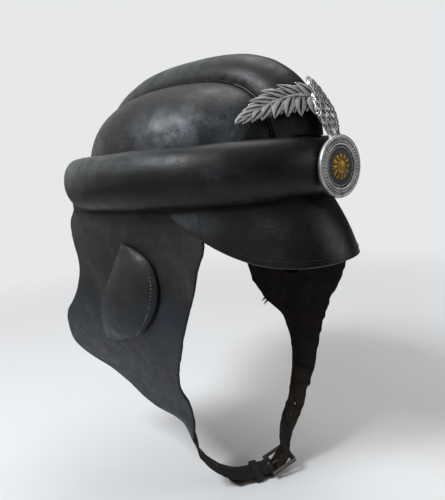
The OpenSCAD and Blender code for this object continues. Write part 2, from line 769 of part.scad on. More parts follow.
module badge_posts() {
    color(silver) {
        for (x = [-post_x, post_x]) {
            front = medal_y - (x - post_r) * tan(medal_turn) + run;
            translate([x, front, medal_z]) rotate([-90, 0, 0])
                cylinder(h = post_in - ring_front - front, r = post_r);
        }
        crest_post(post_r, run + post_r * plate_slope, post_back);
    }
}

module badge_nuts() {
    color(silver) difference() {
        union() {
            ring_posts(nut_r, ring_nut, ring_nut + nut_t);
            crest_post(nut_r, crest_nut, crest_nut + nut_t);
        }
        ring_posts(post_r + run, ring_nut - 1, ring_nut + nut_t + 1);
        crest_post(post_r + run, crest_nut - 1, crest_nut + nut_t + 1);
    }
}

skull_cap();
crown_panel_right();
crown_panel_left();
crown_lining();
felt_band();
sweatband();
ring_cover();
ring_filling();
crest_cover();
crest_filling();
visor_outer();
visor_board();
visor_lining();
badge_plate();
badge_medallion();
badge_field();
badge_boss();
badge_posts();
badge_nuts();
right_flap();
right_ear_cover();
right_strap();
strap_keeper();
buckle_frame();
buckle_prong();
buckle_roller();
left_flap();
left_ear_cover();
left_strap();
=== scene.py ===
import bmesh
import bpy
import json
import math
import numpy as np
from mathutils import Matrix, Vector


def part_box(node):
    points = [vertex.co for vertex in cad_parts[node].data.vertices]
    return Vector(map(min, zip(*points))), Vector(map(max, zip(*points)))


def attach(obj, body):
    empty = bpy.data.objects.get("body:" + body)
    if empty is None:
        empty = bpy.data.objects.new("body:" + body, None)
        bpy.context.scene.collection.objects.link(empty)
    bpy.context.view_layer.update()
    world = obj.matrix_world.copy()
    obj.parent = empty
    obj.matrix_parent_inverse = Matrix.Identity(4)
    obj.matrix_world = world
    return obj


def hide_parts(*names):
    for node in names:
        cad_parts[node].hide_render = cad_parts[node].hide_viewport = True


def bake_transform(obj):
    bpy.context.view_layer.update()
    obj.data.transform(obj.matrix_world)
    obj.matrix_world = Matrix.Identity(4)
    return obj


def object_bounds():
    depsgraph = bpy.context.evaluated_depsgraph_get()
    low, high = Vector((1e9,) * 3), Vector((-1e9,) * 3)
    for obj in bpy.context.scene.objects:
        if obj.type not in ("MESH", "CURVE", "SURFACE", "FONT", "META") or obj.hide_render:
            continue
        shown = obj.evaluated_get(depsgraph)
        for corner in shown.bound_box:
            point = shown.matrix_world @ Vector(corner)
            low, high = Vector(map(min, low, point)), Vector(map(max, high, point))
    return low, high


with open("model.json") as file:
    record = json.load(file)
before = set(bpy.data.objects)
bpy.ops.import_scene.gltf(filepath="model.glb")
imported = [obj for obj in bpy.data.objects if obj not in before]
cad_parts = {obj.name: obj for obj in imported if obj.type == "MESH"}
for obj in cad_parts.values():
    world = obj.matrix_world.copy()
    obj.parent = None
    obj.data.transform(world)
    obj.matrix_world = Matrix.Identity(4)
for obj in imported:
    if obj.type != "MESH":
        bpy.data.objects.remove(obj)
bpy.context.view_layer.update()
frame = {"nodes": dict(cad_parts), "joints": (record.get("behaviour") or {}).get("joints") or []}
print("frame loaded:", len(frame["nodes"]), "nodes")

mm = 0.001
nodes = frame["nodes"]
joints = {joint["name"]: joint for joint in frame["joints"]}


def boxOf(node):
    # lowest and highest corner of a frame node, in millimetres
    low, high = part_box(node)
    return np.array(low) / mm, np.array(high) / mm


# small maths

def sinD(a):
    # sine of an angle in degrees
    return np.sin(np.radians(a))


def cosD(a):
    # cosine of an angle in degrees
    return np.cos(np.radians(a))


def mix(a, b, t):
    # a at t 0, b at t 1, in a straight line between: a + (b - a) t
    return a + (b - a) * t


def smooth(t):
    # an S curve from 0 to 1: 3t^2 - 2t^3, flat at both ends
    c = np.clip(t, 0, 1)
    return c * c * (3 - 2 * c)


def vec(x, y, z):
    # points from separate x, y and z, stretched to the same shape
    x, y, z = np.broadcast_arrays(x, y, z)
    return np.stack([x, y, z], axis=-1).astype(float)


def unit(v):
    # a direction of length 1: v / |v|
    return v / np.maximum(np.linalg.norm(v, axis=-1, keepdims=True), 1e-9)


def signedPower(value, power):
    # keeps the sign and raises the size: below 1 it makes a circle squarish
    return np.sign(value) * np.abs(value) ** power


def outFromAxis(q):
    # the direction away from the head's upright axis: (x, y, 0) over its own length
    return unit(q * (1, 1, 0))


def runAlong(path):
    # the length run at each point of a path
    return np.concatenate([[0], np.cumsum(np.linalg.norm(np.diff(path, axis=0), axis=1))])


def through(points, t):
    # a smooth curve through (t, value) pairs: between two pairs it is the cubic that keeps
    # the mean slope at each of them
    t = np.asarray(t, float)
    ts, vs = np.array(points, float).T
    slopes = np.empty_like(vs)
    slopes[1:-1] = (vs[2:] - vs[:-2]) / (ts[2:] - ts[:-2])
    slopes[0] = (vs[1] - vs[0]) / (ts[1] - ts[0])
    slopes[-1] = (vs[-1] - vs[-2]) / (ts[-1] - ts[-2])
    i = np.clip(np.searchsorted(ts, t, side="right") - 1, 0, len(ts) - 2)
    w = ts[i + 1] - ts[i]
    u = np.clip((t - ts[i]) / w, 0, 1)
    return (vs[i] * (1 + 2 * u) * (1 - u) ** 2 + slopes[i] * w * u * (1 - u) ** 2
            + vs[i + 1] * u * u * (3 - 2 * u) - slopes[i + 1] * w * u * u * (1 - u))


def lumps(p, size, seed=0.0):
    # soft noise from -1 to 1: a random value at each corner of a lattice of that size, blended
    # smoothly inside every cell
    q = np.asarray(p, float) / size + seed * 7.31
    cell = np.floor(q)
    f = q - cell
    f = f * f * (3 - 2 * f)
    total = 0.0
    for corner in range(8):
        step = np.array([corner & 1, corner >> 1 & 1, corner >> 2 & 1], float)
        value = np.sin((cell + step) @ np.array([127.1, 311.7, 74.7])) * 43758.5453
        weight = np.prod(np.where(step > 0, f, 1 - f), axis=-1)
        total = total + (value - np.floor(value)) * weight
    return total * 2 - 1


def waves(t, size, seed=0.0):
    # the same noise along one line
    return lumps(vec(t, 0 * t, 0 * t), size, seed)


# mesh makers

def makePiece(name, verts, faces, material, marks=None):
    # verts are in millimetres and marks are numbers kept on each vertex; "place" keeps the vertex's own
    # position, so that the leather pattern stays on it when the piece bends
    mesh = bpy.data.meshes.new(name)
    verts = np.asarray(verts, float) * mm
    mesh.from_pydata(verts.tolist(), [], np.asarray(faces).tolist())
    place = mesh.attributes.new("place", "FLOAT_VECTOR", "POINT")
    place.data.foreach_set("vector", verts.astype(np.float32).ravel())
    for key, values in (marks or {}).items():
        mark = mesh.attributes.new(key, "FLOAT", "POINT")
        mark.data.foreach_set("value", np.asarray(values, np.float32).ravel())
    mesh.polygons.foreach_set("use_smooth", np.full(len(mesh.polygons), True))
    mesh.materials.append(material)
    mesh.validate()
    mesh.update()
    piece = bpy.data.objects.new(name, mesh)
    bpy.context.scene.collection.objects.link(piece)
    return piece


def quads(index, wrapCols=False, wrapRows=False):
    # four-sided faces between neighbours of an index grid
    if wrapCols:
        index = np.concatenate([index, index[:, :1]], axis=1)
    if wrapRows:
        index = np.concatenate([index, index[:1]], axis=0)
    return np.stack([index[:-1, :-1], index[:-1, 1:], index[1:, 1:], index[1:, :-1]], axis=-1).reshape(-1, 4)


def volumeSign(verts, faces):
    # six times the signed volume, from the triangles that fan out in each face
    a, b, c, d = (verts[faces[:, k]] for k in range(4))
    return np.sum(a * np.cross(b, c)) + np.sum(a * np.cross(c, d))


def outwards(verts, faces):
    # faces turned over if the volume they enclose comes out negative
    return faces if volumeSign(verts, faces) > 0 else faces[:, ::-1]


def closedTube(grid, wrapRows=False):
    # rows of closed sections; open tubes get a small cap at both ends, drawn in to the middle of the end row
    rows, cols = grid.shape[:2]
    if not wrapRows:
        ends = []
        for row in (grid[0], grid[-1]):
            middle = row.mean(axis=0)
            ends.append([mix(middle, row, k)[None] for k in (0.02, 0.55)])
        grid = np.concatenate([ends[0][0], ends[0][1], grid, ends[1][1], ends[1][0]], axis=0)
        rows = len(grid)
    index = np.arange(rows * cols).reshape(rows, cols)
    faces = quads(index, wrapCols=True, wrapRows=wrapRows)
    verts = grid.reshape(-1, 3)
    return verts, outwards(verts, faces)


def slopesOf(face, u, v, e=0.002):
    # the surface's two directions, from points a little to each side
    du = face(np.minimum(u + e, 1), v) - face(np.maximum(u - e, 0), v)
    dv = face(u, np.minimum(v + e, 1)) - face(u, np.maximum(v - e, 0))
    return du, dv


def leatherPanel(name, face, width, length, thick, cols, rows, material, away, body=None, marks=None,
                 lift=None):
    # A cut piece of leather with rounded edges. face(u, v) gives its outer face; the two skins lie half a
    # thickness to each side of its middle, and close on each other along a half circle at every edge.
    # away(points) is a direction that the outer face looks along.
    r = thick / 2
    turn = np.array([0, 22, 45, 67, 90])
    rim, rise = r * (1 - cosD(turn)), sinD(turn)
    between = np.linspace(r / length, 1 - r / length, rows)[1:-1]
    v = np.concatenate([rim / length, between, 1 - rim[::-1] / length])
    w = np.broadcast_to(np.asarray(width(v), float), v.shape)[:, None]
    inner = np.linspace(0, 1, cols)[None, 1:-1] * (1 - 2 * r / w) + r / w
    u = np.concatenate([rim[None] / w, inner, 1 - rim[::-1][None] / w], axis=1)
    v = np.broadcast_to(v[:, None], u.shape)
    su = np.concatenate([rise, np.ones(cols - 2), rise[::-1]])
    sv = np.concatenate([rise, np.ones(rows - 2), rise[::-1]])
    h = r * su[None, :] * sv[:, None]
    points = face(u, v)
    du, dv = slopesOf(face, u, v)
    normal = unit(np.cross(du, dv))
    sign = 1.0 if np.sum(normal * away(points)) > 0 else -1.0
    normal = normal * sign
    if lift is not None:
        points = points + normal * lift(points, u, v)[..., None]
    middle = points - normal * r
    outer, inner = middle + normal * h[..., None], middle - normal * h[..., None]
    n = outer.shape[0] * outer.shape[1]
    index = np.arange(n).reshape(outer.shape[:2])
    back = index.copy()
    inside = np.zeros(index.shape, bool)
    inside[1:-1, 1:-1] = True
    back[inside] = n + np.arange(inside.sum())
    faces = np.concatenate([quads(index), quads(back)[:, ::-1]])
    if sign < 0:
        faces = faces[:, ::-1]
    verts = np.concatenate([outer.reshape(-1, 3), inner[inside]])
    fromEdge = np.minimum(np.minimum(u, 1 - u) * w, np.minimum(v, 1 - v) * length)
    values = {"edge": np.exp(-fromEdge / 1.6)}
    if marks is not None:
        values.update(marks(points, u, v))
    kept = {key: np.concatenate([a.ravel(), a[inside]]) for key, a in
            ((key, np.broadcast_to(a, u.shape)) for key, a in values.items())}
    kept["flesh"] = np.concatenate([np.zeros(n), np.ones(inside.sum())])
    kept["flesh"][:n][~inside.ravel()] = 0.5
    piece = makePiece(name, verts, faces, material, kept)
    if body:
        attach(piece, body)
    return piece


def resample(path, step, closed=False):
    # points at equal steps along a path, and the direction at each
    path = np.asarray(path, float)
    if closed:
        path = np.concatenate([path, path[:1]])
    run = runAlong(path)
    count = max(int(round(run[-1] / step)), 2)
    s = np.linspace(0, run[-1], count + 1)
    points = np.stack([np.interp(s, run, path[:, k]) for k in range(3)], axis=-1)
    if closed:
        points = points[:-1]
        ahead = np.roll(points, -1, axis=0) - np.roll(points, 1, axis=0)
    else:
        ahead = np.gradient(points, axis=0)
    return points, unit(ahead)


def tubeAlong(name, path, radius, up, material, sides=10, step=1.5, closed=False, flatten=1.0, body="root",
              marks=None):
    # a round or flattened section carried along a path; up is a direction for each path point, and radius may
    # be a number or a function of the share of the length
    points, ahead = resample(path, step, closed)
    ups = up(points) if callable(up) else np.broadcast_to(np.asarray(up, float), points.shape)
    side = unit(np.cross(ahead, ups))
    ups = unit(np.cross(side, ahead))
    t = np.linspace(0, 1, len(points))
    r = radius(t) if callable(radius) else np.full(len(points), float(radius))
    a = np.linspace(0, 360, sides, endpoint=False)
    ring = side[:, None] * cosD(a)[None, :, None] + ups[:, None] * sinD(a)[None, :, None] * flatten
    grid = points[:, None] + ring * r[:, None, None]
    verts, faces = closedTube(grid, wrapRows=closed)
    extra = {key: np.full(len(verts), value) for key, value in (marks or {}).items()}
    piece = makePiece(name, verts, faces, material, extra)
    if body:
        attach(piece, body)
    return piece


def stitches(name, path, normals, look, material, body="root", closed=False):
    # one small stitch after another: each is a short fat thread that dips into the leather at both ends
    points, ahead = resample(path, look["pitch"], closed)
    if callable(normals):
        out = normals(points)
    else:
        out = np.broadcast_to(np.asarray(normals, float), points.shape)
    rng = np.random.default_rng(look.get("seed", 3))
    out = unit(out - ahead * np.sum(out * ahead, axis=1, keepdims=True))
    side = np.cross(ahead, out)
    half = look["length"] / 2
    s = np.linspace(-1, 1, 5)
    a = np.linspace(0, 360, 6, endpoint=False)
    swell = np.sqrt(np.clip(1.02 - s ** 4, 0, 1)) * look["thick"]
    skew = rng.uniform(-1, 1, len(points))[:, None, None, None] * look.get("skew", 0.12)
    along = s[None, :, None, None] * half
    rise = (1 - s ** 2)[None, :, None, None] * look["thick"] * 0.9
    grid = (points[:, None, None] + ahead[:, None, None] * along + side[:, None, None] * along * skew
            + out[:, None, None] * (rise - look["thick"] * 0.35)
            + (side[:, None, None] * cosD(a)[None, None, :, None]
               + out[:, None, None] * sinD(a)[None, None, :, None]) * swell[None, :, None, None])
    one, rows, cols = len(s) * len(a), len(s), len(a)
    index = np.arange(one).reshape(rows, cols)
    faces = quads(index, wrapCols=True)
    if volumeSign(grid[0].reshape(-1, 3), faces) < 0:
        faces = faces[:, ::-1]
    allFaces = (faces[None] + one * np.arange(len(points))[:, None, None]).reshape(-1, 4)
    piece = makePiece(name, grid.reshape(-1, 3), allFaces, material)
    closeEnds(piece, cols)
    if body:
        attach(piece, body)
    return piece


def closeEnds(piece, sides):
    # flat end faces for a row of small open tubes
    bm = bmesh.new()
    bm.from_mesh(piece.data)
    bmesh.ops.holes_fill(bm, edges=[edge for edge in bm.edges if edge.is_boundary], sides=sides)
    bmesh.ops.recalc_face_normals(bm, faces=bm.faces)
    bm.to_mesh(piece.data)
    bm.free()


# materials

def nodeTree(name):
    # a new material with an empty tree, its output and one principled shader
    material = bpy.data.materials.new(name)
    material.use_nodes = True
    tree = material.node_tree
    tree.nodes.clear()
    out = tree.nodes.new("ShaderNodeOutputMaterial")
    shader = tree.nodes.new("ShaderNodeBsdfPrincipled")
    tree.links.new(shader.outputs[0], out.inputs["Surface"])
    return material, tree, shader


def feed(tree, value, socket):
    # a link from another node's output, or a plain value or colour
    if isinstance(value, bpy.types.NodeSocket):
        tree.links.new(value, socket)
    elif isinstance(value, (tuple, list)) and len(value) == 3 and socket.type == "RGBA":
        socket.default_value = (*value, 1)
    else:
        socket.default_value = value


def place(tree, own=True, scale=(1, 1, 1)):
    # where the surface is: the kept position on new pieces, Object coordinates on frame nodes
    if own:
        source = tree.nodes.new("ShaderNodeAttribute")
        source.attribute_name = "place"
        out = source.outputs["Vector"]
    else:
        out = tree.nodes.new("ShaderNodeTexCoord").outputs["Object"]
    if tuple(scale) == (1, 1, 1):
        return out
    stretch = tree.nodes.new("ShaderNodeMapping")
    tree.links.new(out, stretch.inputs["Vector"])
    stretch.inputs["Scale"].default_value = scale
    return stretch.outputs["Vector"]


def mark(tree, name):
    # a number kept on the vertices, 0 where the piece has none of that name
    source = tree.nodes.new("ShaderNodeAttribute")
    source.attribute_name = name
    return source.outputs["Fac"]


def noise(tree, where, scale, detail=4.0, rough=0.55, bend=0.0):
    # cloudy noise from 0 to 1: scale counts the lumps in a metre
    node = tree.nodes.new("ShaderNodeTexNoise")
    tree.links.new(where, node.inputs["Vector"])
    node.inputs["Scale"].default_value = scale
    node.inputs["Detail"].default_value = detail
    node.inputs["Roughness"].default_value = rough
    node.inputs["Distortion"].default_value = bend
    return node.outputs["Fac"]


def cells(tree, where, scale, feature="F1"):
    # distance to the nearest cell middle, or to the nearest border between cells
    node = tree.nodes.new("ShaderNodeTexVoronoi")
    node.feature = feature
    tree.links.new(where, node.inputs["Vector"])
    node.inputs["Scale"].default_value = scale
    return node.outputs["Distance"]


def span(tree, value, low, high, toLow=0.0, toHigh=1.0):
    # an S curve from toLow, up to low, to toHigh, from high on
    node = tree.nodes.new("ShaderNodeMapRange")
    node.interpolation_type = "SMOOTHSTEP"
    tree.links.new(value, node.inputs["Value"])
    for key, number in zip(("From Min", "From Max", "To Min", "To Max"), (low, high, toLow, toHigh)):
        node.inputs[key].default_value = number
    return node.outputs["Result"]


def times(tree, a, b):
    # the product a b
    return sums(tree, "MULTIPLY", a, b)


def sums(tree, kind, a, b):
    # one sum of two values, of the kind named
    node = tree.nodes.new("ShaderNodeMath")
    node.operation = kind
    feed(tree, a, node.inputs[0])
    feed(tree, b, node.inputs[1])
    return node.outputs[0]


def blendColour(tree, share, a, b):
    # colour a at share 0 and b at share 1
    node = tree.nodes.new("ShaderNodeMix")
    node.data_type = "RGBA"
    feed(tree, share, node.inputs["Factor"])
    feed(tree, a, node.inputs[6])
    feed(tree, b, node.inputs[7])
    return node.outputs[2]


def bump(tree, height, depth, below=None, strength=1.0):
    # depth is in metres
    node = tree.nodes.new("ShaderNodeBump")
    node.inputs["Distance"].default_value = depth
    node.inputs["Strength"].default_value = strength
    tree.links.new(height, node.inputs["Height"])
    if below is not None:
        tree.links.new(below, node.inputs["Normal"])
    return node.outputs["Normal"]


def leather(name, look, own=True):
    # Worn leather: broad cloudy wear, small rubbed specks, fine grain, cracks where it is dry, painted shade
    # in creases and along seams, rubbed edges, lighter rubbed patches that are partly a painted highlight,
    # and a bluish painted sheen low on the flaps.
    material, tree, shader = nodeTree(name)
    where = place(tree, own)
    wearFrom = look["wearFrom"]
    cloud = span(tree, noise(tree, where, look["cloud"], 5, 0.6, 0.6), wearFrom, wearFrom + 0.2)
    rubbed = span(tree, noise(tree, where, 190, 6, 0.7), 0.5, 0.72)
    specks = span(tree, noise(tree, where, 620, 3, 0.6), 0.6, 0.72)
    colour = blendColour(tree, cloud, look["dark"], look["worn"])
    streaks = noise(tree, place(tree, own, (1, 1, 0.6)), 24, 3, 0.5)
    tint = span(tree, streaks, 0.42, 0.66, 0, look["tintShare"])
    colour = blendColour(tree, tint, colour, look["tint"])
    colour = blendColour(tree, times(tree, times(tree, rubbed, cloud), look["rub"]), colour, look["rubbed"])
    colour = blendColour(tree, times(tree, specks, look["speck"]), colour, look["rubbed"])
    if "low" in look:  # colour that changes with the height: the bluish "low" colour below is a painted sheen, brownish "high" stains above
        height = tree.nodes.new("ShaderNodeSeparateXYZ")
        tree.links.new(where, height.inputs[0])
        wander = times(tree, noise(tree, where, 18, 4, 0.6), 0.07)
        wavy = sums(tree, "ADD", height.outputs["Z"], wander)
        stainsAndSheen = span(tree, noise(tree, where, 42, 5, 0.65), 0.40, 0.62, 0.15, 0.95)
        lower = times(tree, span(tree, wavy, -0.09, -0.055, 1, 0), stainsAndSheen)
        colour = blendColour(tree, lower, colour, look["low"])
        upper = times(tree, span(tree, wavy, -0.085, -0.04, 0, 1), sums(tree, "SUBTRACT", 1, stainsAndSheen))
        colour = blendColour(tree, upper, colour, look["high"])
    # lighter rubbed patches where the mark gives them: partly real wear and partly a painted highlight where
    # the lamps catch the leather
    if own and "patch" in look:
        rubAndSheenBlotch = span(tree, noise(tree, where, 70, 6, 0.62), 0.40, 0.60, look["patchLeast"], 1)
        colour = blendColour(tree, times(tree, mark(tree, "worn"), rubAndSheenBlotch), colour, look["patch"])
    pits = span(tree, noise(tree, where, look["pitSize"], 4, 0.65), 0.30, 0.44, look["pit"], 0)
    colour = blendColour(tree, pits, colour, look["deep"])
    flecks = span(tree, noise(tree, where, 120, 6, 0.75), 0.33, 0.41, look["fleck"], 0)
    colour = blendColour(tree, flecks, colour, look["deep"])
    if own:
        edge = span(tree, times(tree, mark(tree, "edge"), sums(tree, "ADD", rubbed, 0.55)), 0.25, 0.9)
        colour = blendColour(tree, times(tree, edge, look["edgeShare"]), colour, look["edge"])
        # painted shade: near black along folds, puckers, seams and joints, as the mark gives
        colour = blendColour(tree, span(tree, mark(tree, "crease"), 0.05, 0.9, 0, 0.92), colour, look["deep"])
        if "flesh" in look:
            inner = span(tree, noise(tree, where, 60, 5, 0.65), 0.35, 0.7)
            fleshColour = blendColour(tree, inner, look["flesh"], look["fleshDark"])
            colour = blendColour(tree, span(tree, mark(tree, "flesh"), 0.45, 0.95), colour, fleshColour)
    feed(tree, colour, shader.inputs["Base Color"])
    rough = span(tree, noise(tree, where, 85, 5, 0.6), 0.3, 0.7, look["shine"][0], look["shine"][1])
    rough = sums(tree, "ADD", rough, times(tree, cloud, look["dull"]))
    if own:
        rough = sums(tree, "ADD", rough, times(tree, mark(tree, "crease"), 0.4))
    if own and "flesh" in look:
        rough = sums(tree, "ADD", rough, times(tree, mark(tree, "flesh"), 0.4))
    feed(tree, rough, shader.inputs["Roughness"])
    shader.inputs["Specular IOR Level"].default_value = look["gloss"]
    grain = cells(tree, where, look["grain"])
    normal = bump(tree, grain, look["grainDepth"])
    normal = bump(tree, noise(tree, where, look["grain"] * 2.3, 3, 0.6), look["grainDepth"] * 0.8, normal)
    creases = span(tree, noise(tree, where, 70, 6, 0.62, 0.9), 0.46, 0.54)
    normal = bump(tree, creases, look["wrinkle"], normal, 0.6)
    if look.get("crack"):
        cracks = span(tree, cells(tree, place(tree, own, (1, 1, 1.5)), 210, "DISTANCE_TO_EDGE"), 0.0, 0.09)
        normal = bump(tree, cracks, look["crack"], normal)
    feed(tree, normal, shader.inputs["Normal"])
    return material


blackLeather = {"dark": (0.0035, 0.0037, 0.0042), "worn": (0.016, 0.018, 0.0205),
                "deep": (0.0006, 0.0006, 0.0006), "tint": (0.012, 0.0075, 0.0052), "tintShare": 0.45,
                "rubbed": (0.060, 0.064, 0.066), "edge": (0.02, 0.018, 0.017), "edgeShare": 0.5, "rub": 0.6,
                "speck": 0.16, "pit": 0.6, "pitSize": 330, "fleck": 0.35, "cloud": 16, "wearFrom": 0.50,
                "shine": (0.32, 0.46), "dull": 0.08, "gloss": 0.26, "grain": 900, "grainDepth": 0.00006,
                "wrinkle": 0.00005}
# the patch colours below are for the lighter rubbed patches: partly wear and partly a painted highlight
domeLeather = dict(blackLeather, worn=(0.046, 0.055, 0.064), rubbed=(0.115, 0.128, 0.137), rub=0.85,
                   wearFrom=0.48, cloud=12, patch=(0.105, 0.12, 0.135), patchLeast=0.1, pit=0.85,
                   pitSize=210, fleck=0.8, shine=(0.36, 0.52), gloss=0.29)
ringLeather = dict(blackLeather, patch=(0.050, 0.054, 0.054), patchLeast=0.4, tintShare=0.45,
                   shine=(0.33, 0.46), wearFrom=0.50, gloss=0.24)
weltLeather = dict(ringLeather, dark=(0.02, 0.021, 0.022), worn=(0.085, 0.09, 0.092), rub=0.9)
visorLeather = dict(blackLeather, shine=(0.28, 0.40), patch=(0.070, 0.078, 0.082), patchLeast=0.55,
                    dark=(0.0035, 0.0037, 0.0043), wearFrom=0.53, edge=(0.014, 0.009, 0.0065), edgeShare=0.8,
                    flesh=(0.03, 0.02, 0.014), fleshDark=(0.012, 0.009, 0.007))
# on the flaps the "low" colour is a bluish painted sheen on the lower part, and "high" is brownish stains
# above
flapLeather = dict(blackLeather, dark=(0.0062, 0.0062, 0.0062), worn=(0.026, 0.029, 0.031),
                   tint=(0.009, 0.012, 0.017), tintShare=0.4, rubbed=(0.075, 0.081, 0.084), rub=0.4,
                   speck=0.10, pit=0.7, fleck=0.45, cloud=14, wearFrom=0.46, shine=(0.40, 0.56), gloss=0.26,
                   edge=(0.0025, 0.0022, 0.002), edgeShare=0.95, low=(0.009, 0.0135, 0.021),
                   high=(0.019, 0.017, 0.014), flesh=(0.013, 0.0085, 0.0062),
                   fleshDark=(0.0035, 0.0028, 0.0024), wrinkle=0.00008)
strapLeather = dict(flapLeather, dark=(0.0055, 0.0048, 0.0042), worn=(0.015, 0.0115, 0.009),
                    tint=(0.018, 0.0105, 0.006), rub=0.3, wearFrom=0.5, cloud=40, shine=(0.45, 0.70),
                    grain=620, grainDepth=0.00022, wrinkle=0.0004, crack=0.0005, edge=(0.026, 0.016, 0.010),
                    edgeShare=0.7, pit=0.8, flesh=(0.024, 0.0155, 0.010), fleshDark=(0.005, 0.0038, 0.003))
del strapLeather["low"], strapLeather["high"]
bandLeather = dict(blackLeather, dark=(0.12, 0.055, 0.026), worn=(0.21, 0.11, 0.055),
                   tint=(0.07, 0.03, 0.015), deep=(0.02, 0.01, 0.006), rubbed=(0.3, 0.19, 0.11),
                   edge=(0.05, 0.025, 0.014), cloud=26, shine=(0.38, 0.55), gloss=0.4, grain=1100,
                   wrinkle=0.00035)


def cloth(name, look, own=True):
    # Plain weave: two fine waves crossed, with slubs, faint stains and a soft fuzzy surface.
    material, tree, shader = nodeTree(name)
    where = place(tree, own)
    heights = []
    for axis in ("X", "Y", "Z"):
        wave = tree.nodes.new("ShaderNodeTexWave")
        wave.bands_direction = axis
        tree.links.new(where, wave.inputs["Vector"])
        wave.inputs["Scale"].default_value = look["weave"]
        wave.inputs["Distortion"].default_value = 1.2
        wave.inputs["Detail"].default_value = 2
        heights.append(wave.outputs["Fac"])
    weave = times(tree, sums(tree, "ADD", heights[0], heights[1]), sums(tree, "ADD", heights[2], 0.4))
    stain = span(tree, noise(tree, where, 22, 5, 0.65), 0.4, 0.68)
    slub = span(tree, noise(tree, where, 420, 4, 0.7), 0.4, 0.7)
    colour = blendColour(tree, stain, look["colour"], look["stain"])
    colour = blendColour(tree, times(tree, slub, 0.35), colour, look["light"])
    feed(tree, colour, shader.inputs["Base Color"])
    feed(tree, span(tree, slub, 0, 1, 0.78, 0.95), shader.inputs["Roughness"])
    shader.inputs["Specular IOR Level"].default_value = 0.2
    shader.inputs["Sheen Weight"].default_value = 0.25
    normal = bump(tree, weave, look["depth"])
    feed(tree, bump(tree, slub, look["depth"] * 0.7, normal), shader.inputs["Normal"])
    return material


def metal(name, look, own=True):
    # Cast or drawn metal: worn bright on top and dark in its recesses, which the mark "recess" gives, with
    # fine scratches and spots of tarnish.
    material, tree, shader = nodeTree(name)
    where = place(tree, own)
    scratch = noise(tree, place(tree, own, (1, 1, 9)), 500, 4, 0.7)
    tarnish = span(tree, noise(tree, where, look["patch"], 6, 0.7), 0.42, 0.68)
    colour = blendColour(tree, times(tree, tarnish, look["tarnishShare"]), look["bright"], look["tarnish"])
    if own:
        recess = span(tree, sums(tree, "ADD", mark(tree, "recess"), times(tree, tarnish, 0.18)), 0.12, 0.85)
        colour = blendColour(tree, recess, colour, look["recess"])
    feed(tree, colour, shader.inputs["Base Color"])
    rough = span(tree, scratch, 0.3, 0.7, look["shine"][0], look["shine"][1])
    rough = sums(tree, "ADD", rough, times(tree, tarnish, look["dull"]))
    feed(tree, rough, shader.inputs["Roughness"])
    shader.inputs["Metallic"].default_value = look["metallic"]
    normal = bump(tree, scratch, 0.00003)
    feed(tree, bump(tree, noise(tree, where, 900, 4, 0.6), look["cast"], normal), shader.inputs["Normal"])
    return material


def threadMaterial(name, colour, light):
    # Waxed thread: twisted strands along Object coordinates, with dirt.
    material, tree, shader = nodeTree(name)
    where = place(tree)
    strand = noise(tree, where, 1500, 3, 0.7)
    dirtAndShade = span(tree, noise(tree, where, 130, 4, 0.6), 0.4, 0.65)
    feed(tree, blendColour(tree, dirtAndShade, colour, light), shader.inputs["Base Color"])
    feed(tree, span(tree, strand, 0.3, 0.7, 0.55, 0.8), shader.inputs["Roughness"])
    feed(tree, bump(tree, strand, 0.00015), shader.inputs["Normal"])
    return material


def board(name, own=False):
    # Pressed fibre board: short fibres in a brown sheet.
    material, tree, shader = nodeTree(name)
    where = place(tree, own)
    fibre = noise(tree, place(tree, own, (1, 1, 4)), 320, 6, 0.75, 1.2)
    colour = blendColour(tree, span(tree, fibre, 0.35, 0.65), (0.13, 0.075, 0.04), (0.26, 0.17, 0.10))
    feed(tree, colour, shader.inputs["Base Color"])
    feed(tree, span(tree, noise(tree, where, 90), 0.3, 0.7, 0.65, 0.85), shader.inputs["Roughness"])
    feed(tree, bump(tree, fibre, 0.0002), shader.inputs["Normal"])
    return material


domeSkin = leather("worn dome leather", domeLeather)
ringSkin = leather("padded ring leather", ringLeather)
weltSkin = leather("rubbed welt leather", weltLeather)
visorSkin = leather("smooth visor leather", visorLeather)
flapSkin = leather("flap leather", flapLeather)
strapSkin = leather("rough strap leather", strapLeather)
bandSkin = leather("sweatband leather", bandLeather)
liningCloth = cloth("lining cotton", {"colour": (0.20, 0.135, 0.075), "stain": (0.10, 0.062, 0.034),
                                      "light": (0.30, 0.22, 0.14), "weave": 700, "depth": 0.00025})
feltCloth = cloth("grey felt", {"colour": (0.24, 0.22, 0.19), "stain": (0.14, 0.12, 0.10),
                                "light": (0.38, 0.36, 0.32), "weave": 160, "depth": 0.0006})
hairCloth = cloth("packed hair", {"colour": (0.26, 0.20, 0.13), "stain": (0.14, 0.10, 0.06),
                                  "light": (0.42, 0.35, 0.25), "weave": 240, "depth": 0.0008}, own=False)
boardSkin = board("fibre board")
silver = metal("antique silver", {"bright": (0.48, 0.485, 0.47), "tarnish": (0.17, 0.168, 0.156),
                                  "tarnishShare": 0.6, "recess": (0.006, 0.0055, 0.005), "patch": 140,
                                  "shine": (0.26, 0.42), "dull": 0.16, "metallic": 0.92, "cast": 0.00012})
silverPosts = metal("silver posts", {"bright": (0.45, 0.44, 0.42), "tarnish": (0.2, 0.19, 0.17),
                                     "tarnishShare": 0.6, "recess": (0.03, 0.03, 0.03), "patch": 160,
                                     "shine": (0.3, 0.45), "dull": 0.15, "metallic": 0.9, "cast": 0.00006},
                    own=False)
gilt = metal("worn gilt", {"bright": (0.36, 0.235, 0.055), "tarnish": (0.14, 0.09, 0.03), "tarnishShare": 0.6,
                           "recess": (0.04, 0.025, 0.01), "patch": 190, "shine": (0.3, 0.45), "dull": 0.14,
                           "metallic": 0.85, "cast": 0.0001})
